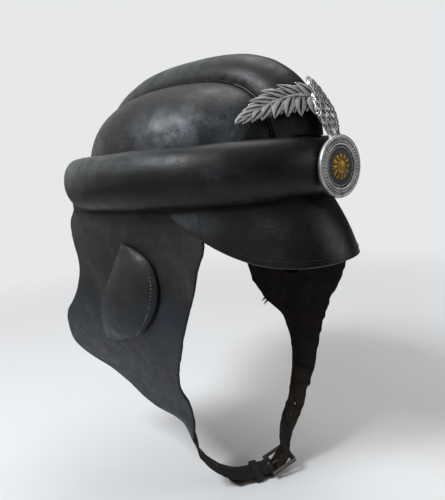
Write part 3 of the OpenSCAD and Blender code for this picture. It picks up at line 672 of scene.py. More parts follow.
enamel = metal("dark enamel", {"bright": (0.008, 0.007, 0.007), "tarnish": (0.02, 0.014, 0.012),
                               "tarnishShare": 0.5, "recess": (0.004, 0.004, 0.004), "patch": 170,
                               "shine": (0.25, 0.4), "dull": 0.2, "metallic": 0.0, "cast": 0.00015})
oldSteel = metal("dark old steel", {"bright": (0.085, 0.075, 0.068), "tarnish": (0.045, 0.026, 0.016),
                                    "tarnishShare": 0.8, "recess": (0.01, 0.01, 0.01), "patch": 220,
                                    "shine": (0.35, 0.55), "dull": 0.2, "metallic": 0.75, "cast": 0.0002},
                 own=False)
darkThread = threadMaterial("dark waxed thread", (0.006, 0.006, 0.006), (0.022, 0.020, 0.018))
paleThread = threadMaterial("pale thread", (0.045, 0.047, 0.045), (0.16, 0.16, 0.15))
brownThread = threadMaterial("brown thread", (0.03, 0.019, 0.011), (0.07, 0.048, 0.03))
print("materials made")


# dome

panelLow, panelHigh = boxOf("crown_panel_right")
ringHigh = boxOf("ring_cover")[1]
crestHigh = boxOf("crest_cover")[1]
dome = {
    "halfWidth": -panelLow[0], "halfLength": panelHigh[1], "height": panelHigh[2], "bottom": panelLow[2],
    "lean": 11.3,       # how far the crown leans to the front
    "square": 0.74,     # 1 is a plain ellipsoid, less is fuller
    "leather": 2.0, "dent": 0.5,
}


def domePoint(off, az, s):
    # Round the head by az and from the crown (s 0) to the ring's middle (s 1): powers of sine and cosine give
    # a full, squarish ellipsoid, which leans forward with its height, and a straight wall follows below it.
    el = np.where(s < 1, 90 * (1 - s), 0)
    c, h = np.abs(cosD(el)) ** dome["square"], np.abs(sinD(el)) ** dome["square"]
    return vec((dome["halfWidth"] - off) * cosD(az) * c,
               (dome["halfLength"] - off) * sinD(az) * c - dome["lean"] * sinD(el),
               np.where(s < 1, (dome["height"] - off) * h, -(s - 1) * dome["height"]))


def domeSquare(off, u, v):
    # a square from -1 to 1 each way drawn to a disc, x = u sqrt(1 - v^2 / 2), and laid over the whole dome
    x, y = u * np.sqrt(1 - v * v / 2), v * np.sqrt(1 - u * u / 2)
    r = np.minimum(np.hypot(x, y), 1)
    return domePoint(off, np.degrees(np.arctan2(y, x)), r * (1 - dome["bottom"] / dome["height"]))


def domeDents(points, u, v):
    # old leather over a stiff shell: long shallow dents, and short creases where it is drawn down to the ring
    low = np.exp(-np.abs(points[..., 2] - ringHigh[2] * 0.8) / 9)
    az = np.degrees(np.arctan2(points[..., 1], points[..., 0]))
    drawn = waves(az * 1.7, 7, 2) * 0.35 * low
    return -dome["dent"] * 0.5 + dome["dent"] * lumps(points, 34, 1) * 0.55 + drawn


def panelFace(start, end):
    # a part of the dome's square, from start to end across it
    return lambda u, v: domeSquare(0, mix(start, end, u), mix(1, -1, v))


# the lighter patch on each side of the dome: rubbed wear and a painted highlight
domeRubAndSheen = {"middle": (82, -54, 38), "reach": (40, 30, 17), "left": 0.3}


def fromRubAndSheen(points, wear):
    # distance from the middle of a lighter patch of rubbed wear and painted highlight, in its own reach: both
    # sides of the helmet have one
    mirrored = np.abs(points) * (1, 0, 0) + points * (0, 1, 1)
    return np.linalg.norm((mirrored - wear["middle"]) / wear["reach"], axis=-1)


def domeMarks(points, u, v):
    # painted shade in blotches just above the ring, and on each side a lighter patch of rubbed wear and
    # painted highlight, fainter on the left
    low = np.exp(-np.clip(points[..., 2] - ringHigh[2] * 0.72, 0, None) / 2.2)
    share = np.where(points[..., 0] < 0, 1, domeRubAndSheen["left"])
    return {"crease": np.clip(low * (0.5 + 0.5 * lumps(points, 5, 6)), 0, 1),
            "worn": np.exp(-fromRubAndSheen(points, domeRubAndSheen) ** 2) * share}


half = {"width": 105, "length": 240, "cols": 72, "rows": 132}
seam = 0.004  # half the gap between the two halves, as a share of the dome's square
for side, start, end in (("right", -1, -seam), ("left", seam, 1)):
    piece = leatherPanel(f"crownLeather_{side}", panelFace(start, end), lambda v: half["width"],
                         half["length"], dome["leather"], half["cols"], half["rows"], domeSkin, lambda p: p,
                         "root", domeMarks, domeDents)
    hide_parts(f"crown_panel_{side}")
print("dome done")


# padded ring

roll = {"halfThick": 16.9, "sewn": 150, "swell": 0.40, "fold": 1.6}
roll["halfHeight"] = ringHigh[2]
roll["rx"], roll["ry"] = ringHigh[0] - roll["halfThick"], ringHigh[1] - roll["halfThick"]


def domeReach(az, z, off):
    # distance from the head's axis to the dome's wall at a height, in a direction
    s = np.clip(z / dome["height"], 0, 1) ** (1 / dome["square"])
    c = np.sqrt(1 - s * s) ** dome["square"]
    a, b = dome["halfWidth"] * c, dome["halfLength"] * c
    reach = a * b / np.maximum(np.hypot(b * cosD(az), a * sinD(az)), 1e-6)
    return reach + off + np.where(sinD(az) < 0, -sinD(az) * dome["lean"] * s, 0)


def ringPoint(inside, az, v, off):
    # an oval section carried round an oval, pressed flat where it meets the dome
    centre = vec(roll["rx"] * cosD(az), roll["ry"] * sinD(az), 0 * az)
    out = unit(vec(cosD(az) * roll["ry"], sinD(az) * roll["rx"], 0 * az))
    p = centre + out * ((roll["halfThick"] - inside) * cosD(v))[..., None]
    z = (roll["halfHeight"] - inside) * sinD(v)
    turn = np.degrees(np.arctan2(p[..., 1], p[..., 0]))
    r = np.maximum(np.hypot(p[..., 0], p[..., 1]), domeReach(turn, z, off))
    return vec(r * cosD(turn), r * sinD(turn), z)


def ringCover():
    # The stuffed roll is uneven by a fraction of a millimetre, with shallow folds across it that run down
    # from the seam, deepest at the front and back where the leather is drawn round the tight bends.
    az = np.linspace(0, 360, 420, endpoint=False)[:, None] + np.zeros((1, 84))
    v = np.zeros((420, 1)) + np.linspace(0, -360, 84, endpoint=False)[None]
    p = ringPoint(0.45, az, v, 0.2)
    e = 1.0
    normal = unit(np.cross(ringPoint(0, az + e, v, 0) - ringPoint(0, az - e, v, 0),
                           ringPoint(0, az, v - e, 0) - ringPoint(0, az, v + e, 0)))
    middle = vec(roll["rx"] * cosD(az), roll["ry"] * sinD(az), 0 * az)
    normal = normal * np.sign(np.sum(normal * (p - middle), axis=-1, keepdims=True))
    turned = np.mod(v, 360)
    fromTop = np.abs(turned - roll["sewn"])
    fromLow = np.abs(turned - (360 - roll["sewn"]))
    near = np.exp(-fromTop / 15) + np.exp(-fromLow / 20)
    bend = 0.35 + 0.65 * np.abs(sinD(az)) ** 3
    folds = lumps(vec(az * 1.9, 0 * az, v * 0.012), 6.5, 4)
    sharp = np.clip(folds - 0.1, 0, None) ** 1.3
    height = roll["swell"] * lumps(p, 30, 3) + 0.18 * lumps(p, 11, 5) - roll["fold"] * sharp * near * bend
    inner = (turned > 100) & (turned < 260)
    p = p + normal * np.where(inner, np.minimum(height, 0.1), height)[..., None]
    verts, faces = closedTube(p, wrapRows=True)
    # painted shade in the folds and along both seams
    crease = np.clip(sharp * near * bend * 1.4 + np.exp(-fromTop / 3.5) + np.exp(-fromLow / 3.5), 0, 1)
    # the roll is lighter along its top, least at the front: rubbed wear and a painted highlight
    worn = smooth((verts[:, 2] - 3) / 13) * smooth((verts[:, 1] + 85) / 70)
    piece = makePiece("ringPadding", verts, faces, ringSkin,
                      {"crease": crease, "worn": worn})
    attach(piece, "root")
    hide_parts("ring_cover")


ringCover()


def seamAround(name, v, rise, radius, material, seed):
    # a ragged line of dried leather edge and wax where the roll is sewn to the dome
    az = np.linspace(0, 360, 900, endpoint=False)
    path = ringPoint(0, az, 0 * az + v, 0.2)
    path[:, 2] += rise
    path += 0.25 * lumps(path, 4, seed)[:, None]

    def radii(t):
        # the line's own thickness, times two waves
        return radius * (1 + 0.35 * waves(t * 900, 7, seed) + 0.3 * waves(t * 900, 2.2, seed + 1))

    piece = tubeAlong(name, path, radii, (0, 0, 1), material, sides=8, step=1.2, closed=True)


seamAround("ringSeamTop", 132, -0.9, 1.0, strapSkin, 8)
print("ring done")


# padded crest

crest = {"halfWidth": crestHigh[0], "height": crestHigh[2] - dome["height"], "gap": 0.3, "clear": 0.35,
         "puckerFrom": 22, "puckerTo": 92, "puckerDepth": 2.3, "puckerReach": 9.0}


def crestBase(a, x, off):
    # a point of the dome at x to the side: a runs from 0 at the front over the top to 180 at the back
    p = dome["square"]
    k = x / (dome["halfWidth"] + off)
    e = np.abs(cosD(a)) ** p
    side = np.where(cosD(a) < 0, 1.0, -1.0)
    c = np.sqrt(k * k + (1 - k * k) * e * e)
    s = np.sqrt(np.clip(1 - c ** (2 / p), 0, None))
    return vec(x, side * (dome["halfLength"] + off) * np.sqrt(1 - k * k) * e - dome["lean"] * s,
               (dome["height"] + off) * s ** p)


def crestOut(a):
    # square to the dome's middle line: its direction turned a quarter in the y z plane
    d = crestBase(np.minimum(a + 1, 179.5), 0 * a, 0) - crestBase(np.maximum(a - 1, 0.5), 0 * a, 0)
    return unit(vec(0 * a, -d[..., 2], d[..., 1]))


def crestPoint(inside, a, b):
    # a half round arch stood on the dome: b runs across it from one seam at 0 to the other at 180
    return (crestBase(a, (crest["halfWidth"] - inside) * cosD(b), crest["gap"])
            + crestOut(a) * ((crest["height"] - inside - crest["gap"]) * sinD(b))[..., None])


def crestStop(b, clear, meet):
    # the angle where the crest meets the ring, found by halving again and again
    clear, meet = np.full(b.shape, float(clear)), np.full(b.shape, float(meet))
    for _ in range(12):
        m = (clear + meet) / 2
        p = crestPoint(0, m, b)
        reach = np.hypot(p[..., 0] * roll["ry"] / roll["rx"], p[..., 1])
        far = (reach - roll["ry"]) / (roll["halfThick"] + 0.2)
        free = p[..., 2] > roll["halfHeight"] * np.sqrt(np.clip(1 - far ** 2, 0, None)) + crest["clear"]
        clear, meet = np.where(free, m, clear), np.where(free, meet, m)
    return clear


def crestCover():
    # Stuffed arch with short puckers along its seams, closely spaced where the leather is gathered round the
    # front curve: each is a narrow groove that starts at the seam and fades out up the side.
    rows, cols = 64, 460
    b = np.linspace(0, 180, rows)[:, None]
    a0, a1 = crestStop(b, 60, 0), crestStop(b, 120, 180)
    a = mix(a1, a0, np.linspace(0, 1, cols)[None])
    b = b + 0 * a
    p = crestPoint(0.35, a, b)
    floor = crestBase(a, (crest["halfWidth"] - 0.35) * cosD(b), crest["gap"])
    e = 0.6
    alongIt = crestPoint(0, a + e, b) - crestPoint(0, a - e, b)
    acrossIt = crestPoint(0, a, np.clip(b + e, 0, 180)) - crestPoint(0, a, np.clip(b - e, 0, 180))
    normal = unit(np.cross(alongIt, acrossIt))
    normal = normal * np.sign(np.sum(normal * (p - crestBase(a, 0 * a, -30)), axis=-1, keepdims=True))
    fromSeam = crest["halfWidth"] * np.minimum(b, 180 - b) * math.pi / 180
    left = (b < 90) * 1.0
    wander = a + 1.2 * lumps(vec(a, left * 9, fromSeam), 8, 11)
    wave = lumps(vec(wander, left * 40, 0 * a), 1.25, 12)
    groove = np.clip(wave - 0.05, 0, None) ** 1.5
    reach = crest["puckerReach"] * (0.55 + 0.45 * lumps(vec(a, left * 30, 0 * a), 3.1, 14))
    zone = smooth((a - crest["puckerFrom"]) / 14) * smooth((crest["puckerTo"] - a) / 16)
    zone = zone + 0.45 * smooth((a - 96) / 14) * smooth((165 - a) / 14)
    fade = np.exp(-(fromSeam / np.maximum(reach, 1)) ** 2)
    height = (0.45 * lumps(p, 26, 7) + 0.16 * lumps(p, 9, 9)) * smooth(fromSeam / 8)
    height = height - crest["puckerDepth"] * groove * zone * fade
    p = p + normal * height[..., None]
    n = rows * cols
    index = np.arange(n).reshape(rows, cols)
    under = n + np.arange(n).reshape(rows, cols)
    under[0], under[-1] = index[0], index[-1]
    ends = []
    for c, order in ((0, 1), (-1, -1)):
        strip = np.stack([index[:, c], under[:, c]], axis=1)
        ends.append(quads(strip)[:, ::order])
    faces = np.concatenate([quads(index), quads(under)[:, ::-1], *ends])
    verts = np.concatenate([p.reshape(-1, 3), floor.reshape(-1, 3)])
    # painted shade in the puckers' grooves and along the seams
    crease = np.clip(groove * zone * fade * 3.4 + 0.8 * np.exp(-fromSeam / 1.1), 0, 1)
    # lighter along the top behind the front: rubbed wear and a painted highlight
    worn = 0.9 * smooth((p[..., 1] + 90) / 60) * smooth(fromSeam / 14)
    marks = {"crease": np.concatenate([crease.ravel(), np.zeros(n)]),
             "worn": np.concatenate([worn.ravel(), np.zeros(n)])}
    piece = makePiece("crestPadding", verts, faces, ringSkin, marks)
    tidyMesh(piece)
    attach(piece, "root")
    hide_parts("crest_cover")


def tidyMesh(piece, near=0.00001):
    # merges doubles, drops loose points and turns every face outwards
    bm = bmesh.new()
    bm.from_mesh(piece.data)
    bmesh.ops.remove_doubles(bm, verts=bm.verts, dist=near)
    bmesh.ops.dissolve_degenerate(bm, edges=bm.edges, dist=1e-7)
    bmesh.ops.delete(bm, geom=[v for v in bm.verts if not v.link_faces], context="VERTS")
    bmesh.ops.recalc_face_normals(bm, faces=bm.faces)
    bm.to_mesh(piece.data)
    bm.free()
    piece.data.update()


crestCover()
welt = {"radius": 0.95, "ragged": 0.8, "from": 26, "to": 60}
for side, sign in (("right", -1), ("left", 1)):
    edgeAt = np.array([0.0 if sign > 0 else 180.0])
    first, last = crestStop(edgeAt, 60, 0)[0], crestStop(edgeAt, 120, 180)[0]
    along = np.linspace(first, last, 260)
    line = crestBase(along, 0 * along + sign * (crest["halfWidth"] + 0.5), 0.35)
    pale = (along > welt["from"]) & (along < welt["to"])
    piece = tubeAlong(f"crestWelt_{side}", line[pale], welt["radius"], lambda q: q * (0, 1, 1), weltSkin,
                      sides=8, step=1.2)
    for part, rest in (("front", line[along <= welt["from"] + 1]), ("rear", line[along >= welt["to"] - 1])):
        rest = rest + 0.3 * lumps(rest, 5, 21)[:, None]
        piece = tubeAlong(f"crestSeam_{side}_{part}", rest,
                          lambda t: welt["ragged"] * (1 + 0.5 * waves(t * 300, 3, 22)),
                          lambda q: q * (0, 1, 1), strapSkin, sides=8, step=1.2)
print("crest done")


# visor

visorHigh = boxOf("visor_outer")[1]
peak = {"rx": roll["rx"] - 15.7, "corner": 18, "ry": roll["ry"] + 5.2, "top": visorHigh[2], "length": 56.6,
        "slope": 63, "span": 66, "cornerSlope": 90, "skin": 1.2, "bow": 2.5, "layers": 1.2 * 2 + 1.8 + 0.6,
        "tuckUp": 7, "tuckShare": 0.13, "wide": 250, "deep": 50, "cornerSeam": 56.5}


def peakLength(a):
    # longest at the middle and 5 at the corners: it falls off with the third power of the angle
    return 5 + (peak["length"] - 5) * (1 - (np.abs(a) / peak["span"]) ** 3)


def peakPoint(inside, a, v):
    # a slightly bowed flap that falls from an oval line: steep at the middle and upright at its rear corners
    u = a / peak["span"]
    rx = peak["rx"] + peak["corner"] * u * u
    x, y = rx * sinD(a), -peak["ry"] * cosD(a)
    out = unit(np.stack(np.broadcast_arrays(x / peak["rx"] ** 2, y / peak["ry"] ** 2), axis=-1))
    tilt = mix(peak["slope"], peak["cornerSlope"], np.abs(u) ** 1.4)
    d = v * peakLength(a)
    r = cosD(tilt) * d + 4 * v * (1 - v) * peak["bow"] * (1 - u * u) - inside
    return vec(x + out[..., 0] * r, y + out[..., 1] * r, peak["top"] - sinD(tilt) * d)


def peakFace(inside, inset=0.0):
    # the visor as seen, and above it the edge that is sewn in under the ring
    def face(u, v):
        # v below tuckShare is the sewn edge, which runs inwards and up
        down = mix(-peak["tuckShare"], 1 - inset, v)
        hidden = np.maximum(-down, 0) / peak["tuckShare"]
        p = peakPoint(inside, mix(-peak["span"], peak["span"], u) * (1 - inset), np.maximum(down, 0))
        inwards = -unit(p * (1, 1, 0)) * hidden[..., None]
        return p + inwards * 1.5 + hidden[..., None] * (0, 0, peak["tuckUp"])

    return face


def peakLift(points, u, v):
    # leather that isn't quite flat: a quarter of a millimetre of slow waves
    return 0.25 * lumps(points, 28, 31) - 0.05


# the lighter patch at each rear corner of the visor: rubbed wear and a painted highlight
visorRubAndSheen = {"middle": (86, -66, -31), "reach": (30, 19, 16)}


def peakMarks(points, u, v):
    # a lighter patch at each rear corner, of rubbed wear and painted highlight; painted shade where the visor
    # leaves the ring and along its two ends
    dirtAndShade = 0.8 * np.exp(-np.clip(peak["top"] - 1.5 - points[..., 2], 0, None) / 2.2)
    corners = np.exp(-np.minimum(u, 1 - u) * peak["wide"] / 1.3)
    return {"worn": np.exp(-fromRubAndSheen(points, visorRubAndSheen) ** 2), "crease": np.maximum(dirtAndShade, corners)}


piece = leatherPanel("visorLeather", peakFace(0), lambda v: peak["wide"], peak["deep"], peak["skin"], 150,
                     34, visorSkin, outFromAxis, "root", peakMarks, peakLift)
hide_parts("visor_outer")
piece = leatherPanel("visorUnderside", peakFace(peak["layers"] - peak["skin"]), lambda v: peak["wide"],
                     peak["deep"], peak["skin"], 120, 26, strapSkin, outFromAxis, "root", lift=peakLift)
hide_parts("visor_lining")

binding = {"wide": 2.2, "thick": 0.8}
edgeAngles = np.linspace(-peak["span"], peak["span"], 240)
edgeLine = peakPoint(peak["layers"] / 2, edgeAngles, 0 * edgeAngles + 1)
edgeUp = unit(peakPoint(0, edgeAngles, 0 * edgeAngles + 0.9) - peakPoint(0, edgeAngles, 0 * edgeAngles + 1))


def followEdge(directions, points):
    # the direction kept for the nearest point of the edge line
    nearest = np.argmin(np.linalg.norm(points[:, None] - edgeLine[None], axis=2), axis=1)
    return directions[nearest]


piece = tubeAlong("visorBinding", edgeLine, binding["wide"], lambda q: followEdge(edgeUp, q),
                  visorSkin, sides=14, step=1.6, flatten=0.5, marks={"edge": 1.0})

seamLook = {"length": 2.3, "thick": 0.34, "pitch": 3.4, "seed": 5}
for side, sign in (("right", -1), ("left", 1)):
    down = np.linspace(0.06, 0.86, 30)
    line = peakPoint(0, 0 * down + sign * peak["cornerSeam"], down)
    line += outFromAxis(line) * 0.1
    stitches(f"visorCornerStitches_{side}", line, outFromAxis, seamLook, darkThread)
line = peakPoint(0, np.linspace(-62, 62, 200), np.zeros(200) + 0.90)
line += outFromAxis(line) * 0.1
stitches("visorEdgeStitches", line, outFromAxis, dict(seamLook, length=2.0, thick=0.28, pitch=3.0),
                 darkThread)
print("visor done")


# ear flaps

flapTop = peak["top"] - 0.3
flap = {"thick": 3.0, "depth": 233, "leftDepth": 197, "space": 1.2, "lap": -4, "lapFrom": -68, "lapOver": 8,
        "tuckUp": 13, "bendDown": 16, "tipTurn": 35, "rightRagged": 0.35, "leftRagged": 1.0,
        "rightX": -(dome["halfWidth"] - 2.3), "leftX": dome["halfWidth"] - 3.8}
rightFront = [[0, -56], [24, -79], [48, -74.5], [71, -69], [93, -60], [125, -46.5], [143, -37], [160, -29.5],
              [171, -27.5], [184, -31], [208, -27], [233, -24]]
rightRear = [[0, 95], [12, 108], [24, 107], [37, 99], [48, 92.5], [57, 90], [69, 92], [82, 98], [95, 109],
             [106, 121.5], [117, 129.5], [133, 135], [149, 136], [158, 126], [165, 105.5], [173, 79],
             [185, 58], [198, 43], [210, 18.6], [220, 2], [233, -4]]
leftFront = [[0, -53], [30, -82], [50, -112], [64, -126], [78, -125], [96, -116], [114, -107], [132, -102],
             [149, -100], [180, -100], [197, -97.5]]
leftRear = [[0, 76], [20, 68], [45, 50], [65, 34], [85, 16], [107, 4], [120, -10], [127, -18], [139, -43],
            [151, -54], [165, -63], [180, -68], [197, -72]]


def peakBack(drop):
    # how far back the visor's free edge is at a depth below the ring
    angles = np.linspace(0, peak["span"], 240)
    edge = peakPoint(peak["layers"], angles, 0 * angles + 1)
    depth = peak["top"] - edge[:, 2]
    y = np.interp(drop, depth[::-1], edge[::-1, 1])
    return np.where(drop > depth.max() + 1, -400, y)


def rightFace(y, drop):
    # curved round the head at its top, flat lower down, and turned to its strap at the tip
    bow = 0.0015 * (1 - 0.9 * smooth(drop / 90)) * (y - 15) ** 2
    turn = math.tan(math.radians(flap["tipTurn"])) * smooth((drop - 205) / 28) * (y + 14)
    return flap["rightX"] + bow + 40 * smooth((drop - 95) / 170) + turn


def leftFace(y, drop):
    # curved round the head by the square of y, and drawn in under the chin lower down
    return (flap["leftX"] - 0.0012 * (y + 30) ** 2 - 0.004 * np.clip(-60 - y, 0, None) ** 2
            - 80 * smooth((drop - 50) / 245))


def frontLine(front, drop):
    # behind the visor's corner, then past its outer side lower down
    back = peakBack(drop)
    past = smooth((flap["lapFrom"] - back) / flap["lapOver"])
    return np.maximum(through(front, drop), back + mix(flap["space"], flap["lap"], past))


def rightPoint(w, drop):
    # w runs from the front edge to the rear edge, drop is the depth below the ring
    y = mix(frontLine(rightFront, drop), through(rightRear, drop), w)
    return vec(rightFace(y, drop), y, flapTop - drop)


def leftPoint(w, drop):
    # as rightPoint, for the left flap
    y = mix(frontLine(leftFront, drop), through(leftRear, drop), w)
    return vec(leftFace(y, drop), y, flapTop - drop)


def buckled(p):
    # slow waves in a hanging piece of leather, none where it is sewn on
    free = smooth((flapTop - p[..., 2]) / 60)
    return free * (1.3 * lumps(p, 75, 41) + 0.45 * lumps(p, 27, 42))


ear = {"drop": 80, "top": 28, "low": 128, "y": 12, "radius": 15, "bulge": 10, "mouth": 0.2, "thick": 2.0,
       "wide": 60, "sweep": 30, "sweepSlope": 0.6}
earFront = [[28, 4], [34, -14], [42, -26], [56, -33], [68, -34], [82, -30], [96, -21], [109, -8], [116, 4],
            [123, 28], [128, 50]]
earRear = [[28, 8], [35, 11], [51, 22], [69, 35], [83, 46], [99, 52], [128, 55]]
earLength = ear["low"] - ear["top"]


def earSweep(drop):
    # how far forward the left cover is moved, more with each millimetre down
    return ear["sweep"] + ear["sweepSlope"] * (drop - ear["top"])


def flapPiece(side, point, depth, sign, front, rear):
    # A cut sheet between its front and rear lines, tucked up into the ring, with its edges worn uneven.
    tuck = flap["tuckUp"]  # the part above the sewn line, which runs up inside the ring
    ragged = flap[f"{side}Ragged"]

    def away(p):
        # straight out to the side
        return np.zeros(p.shape) + (sign, 0, 0)

    def width(v):
        # from the front line to the rear line
        drop = np.maximum(v * (depth + tuck) - tuck, 0)
        return through(rear, drop) - frontLine(front, drop)

    def face(u, v):
        # the flap's own curve, straight up above the sewn line, with noise at its two edges
        drop = v * (depth + tuck) - tuck
        p = point(u, np.maximum(drop, 0))
        p[..., 2] += np.maximum(-drop, 0)
        p[..., 1] += ragged * np.abs(2 * u - 1) ** 12 * lumps(vec(drop, 60 * u, 0 * u), 4.5, 61)
        return p

    def marksOf(p, u, v):
        # painted shade along the line where the flap is sewn on, under the ring
        return {"crease": 0.75 * np.exp(-np.abs(flapTop - 1.5 - p[..., 2]) / 2.5)}

    piece = leatherPanel(f"{side}FlapLeather", face, width, depth + tuck, flap["thick"], 84, 210, flapSkin,
                         away, None, marksOf, lambda p, u, v: buckled(p))
    earY = ear["y"] - (earSweep(ear["drop"]) if side == "left" else 0)
    drill(piece, [((flap[f"{side}X"], earY, flapTop - ear["drop"]), (1, 0, 0), ear["radius"], 80)])
    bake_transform(piece)
    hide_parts(f"{side}_flap")


def drill(piece, holes):
    # round holes cut right through a piece, each (middle, direction, radius, length) in millimetres
    bm = bmesh.new()
    for middle, along, radius, length in holes:
        turn = Vector(along).to_track_quat("Z", "Y").to_matrix().to_4x4()
        bmesh.ops.create_cone(bm, cap_ends=True, segments=16 if radius < 5 else 48, radius1=radius * mm,
                              radius2=radius * mm, depth=length * mm,
                              matrix=Matrix.Translation(Vector(middle) * mm) @ turn)
    drumMesh = bpy.data.meshes.new("drum")
    bm.to_mesh(drumMesh)
    bm.free()
    drum = bpy.data.objects.new("drum", drumMesh)
    bpy.context.scene.collection.objects.link(drum)
    cut = piece.modifiers.new("holes", "BOOLEAN")
    cut.object, cut.operation, cut.solver = drum, "DIFFERENCE", "EXACT"
    evaluated = piece.evaluated_get(bpy.context.evaluated_depsgraph_get())
    newMesh = bpy.data.meshes.new_from_object(evaluated)
    piece.modifiers.clear()
    piece.data = newMesh
    bpy.data.objects.remove(drum)


flapPiece("right", rightPoint, flap["depth"], -1, rightFront, rightRear)
flapPiece("left", leftPoint, flap["leftDepth"], 1, leftFront, leftRear)


def earHeight(w, d):
    # sewn down at the front, top and bottom, and open at the back
    return (ear["bulge"] * (1 - np.abs(2 * d - 1) ** 3)
            * np.where(w < 0.5, 1 - np.abs(1 - 2 * w) ** 3, 1 - (1 - ear["mouth"]) * (2 * w - 1) ** 2))


def earFace(side):
    # the cover's outer face
    def face(u, v):
        # the flap's own curve, and earHeight above it
        drop = mix(ear["top"], ear["low"], v)
        sweep = earSweep(drop) if side == "left" else 0
        y = mix(through(earFront, drop), through(earRear, drop), u) - sweep
        out = 0.5 + earHeight(u, v) + ear["thick"]
        x = leftFace(y, drop) + out if side == "left" else rightFace(y, drop) - out
        p = vec(x, y, flapTop - drop)
        p[..., 0] += buckled(p) * (1 if side == "left" else -1)
        return p

    return face


def earWidth(v):
    # from the cover's front line to its rear line, at least 6
    drop = mix(ear["top"], ear["low"], v)
    return np.maximum(through(earRear, drop) - through(earFront, drop), 6)


def earMarks(p, u, v):
    # painted shadow along the sewn front and lower edges
    return {"crease": np.clip(np.exp(-u * ear["wide"] / 1.6) + np.exp(-(1 - v) * earLength / 1.6), 0, 1)}


for side, sign in (("right", -1), ("left", 1)):
    face = earFace(side)
    piece = leatherPanel(f"{side}EarCover", face, earWidth, earLength, ear["thick"], 60, 84,
                         flapSkin, lambda p, s=sign: np.zeros(p.shape) + (s, 0, 0), f"{side}_flap",
                         marks=earMarks, lift=lambda p, u, v: 0.25 * lumps(p, 14, 47))
    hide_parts(f"{side}_ear_cover")
    inset = 4.2 / ear["wide"]
    v = np.concatenate([np.full(8, 0.035), np.linspace(0.035, 0.965, 120), np.full(20, 0.965)])
    u = np.concatenate([np.linspace(0.75, inset, 8), np.full(120, inset), np.linspace(inset, 0.92, 20)])
    line = face(u, v) + np.array([sign * 0.1, 0, 0])
    earLook = {"length": 1.7, "thick": 0.5, "pitch": 3.3, "seed": 7}
    piece = stitches(f"{side}EarStitches", line, (sign, 0, 0), earLook, paleThread, f"{side}_flap")


def threadStubs():
    # broken thread ends that stand out of the left flap's rear edge
    drops = np.array([125.6, 126.4, 127.5, 128.2])
    rng = np.random.default_rng(21)
    for number, drop in enumerate(drops):
        root = leftPoint(np.array(0.985), np.array(drop))
        t = np.linspace(0, 1, 8)[:, None]
        way = np.array([rng.uniform(-0.4, 0.1), 1, rng.uniform(-0.9, 0.1)]) * rng.uniform(3.5, 6)
        path = root + t * way + (t * t) * (0, -0.6, -2.2)
        stub = tubeAlong(f"threadStub_{number + 1}", path, lambda t: 0.75 - 0.4 * t, (1, 0, 0), darkThread,
                         sides=8, step=0.4, body="left_flap")


threadStubs()
print("flaps done")


# chin straps

strap = {"wide": 22, "thick": 2.4, "wire": 1.5, "gap": 0.3, "tail": 46, "straight": 26, "rise": 2,
         "buckleRise": 22, "buckleLength": 24, "roller": 2.6, "tailFrom": -18, "holeFirst": 24,
         "holeStep": 12.5, "prongLift": 9.84, "loopThick": 1.7, "split": 3.4}
buckleAt = np.array(joints["buckle_tilt"]["pos_m"]) / mm
acrossStrap = np.array(joints["buckle_tilt"]["axis"])
heading = math.degrees(math.atan2(-acrossStrap[0], acrossStrap[1]))
rightTip = np.array(joints["right_strap_swing"]["pos_m"]) / mm
leftTip = np.array(joints["left_strap_swing"]["pos_m"]) / mm


def toward(rise):
    # the strap's heading, raised by an angle: (cos rise cos heading, cos rise sin heading, sin rise)
    return np.array([cosD(rise) * cosD(heading), cosD(rise) * sinD(heading), sinD(rise)])


def upFrom(rise):
    # square to that heading, upwards
    return np.array([-sinD(rise) * cosD(heading), -sinD(rise) * sinD(heading), cosD(rise)])


def atStrap(s, n):
    # s along the buckled strap from the buckle's bar, and n above it
    return buckleAt + toward(strap["rise"]) * s + upFrom(strap["rise"]) * n


def atBuckle(s, n):
    # the same along the buckle's frame
    return buckleAt + toward(strap["buckleRise"]) * s + upFrom(strap["buckleRise"]) * n


def bezier(p, t):
    # cubic curve: (1-t)^3 p0 + 3 t (1-t)^2 p1 + 3 t^2 (1-t) p2 + t^3 p3
    t = np.asarray(t)[:, None]
    return (1 - t) ** 3 * p[0] + 3 * t * (1 - t) ** 2 * p[1] + 3 * t * t * (1 - t) * p[2] + t ** 3 * p[3]


def eased(path):
    # a close-set path through the given points, each stretch the cubic that keeps the mean slopes
    path = np.asarray(path, float)
    run = runAlong(path)
    s = np.linspace(0, run[-1], int(run[-1] / 0.8))
    return np.stack([through(np.stack([run, path[:, k]], axis=1), s) for k in range(3)], axis=-1)


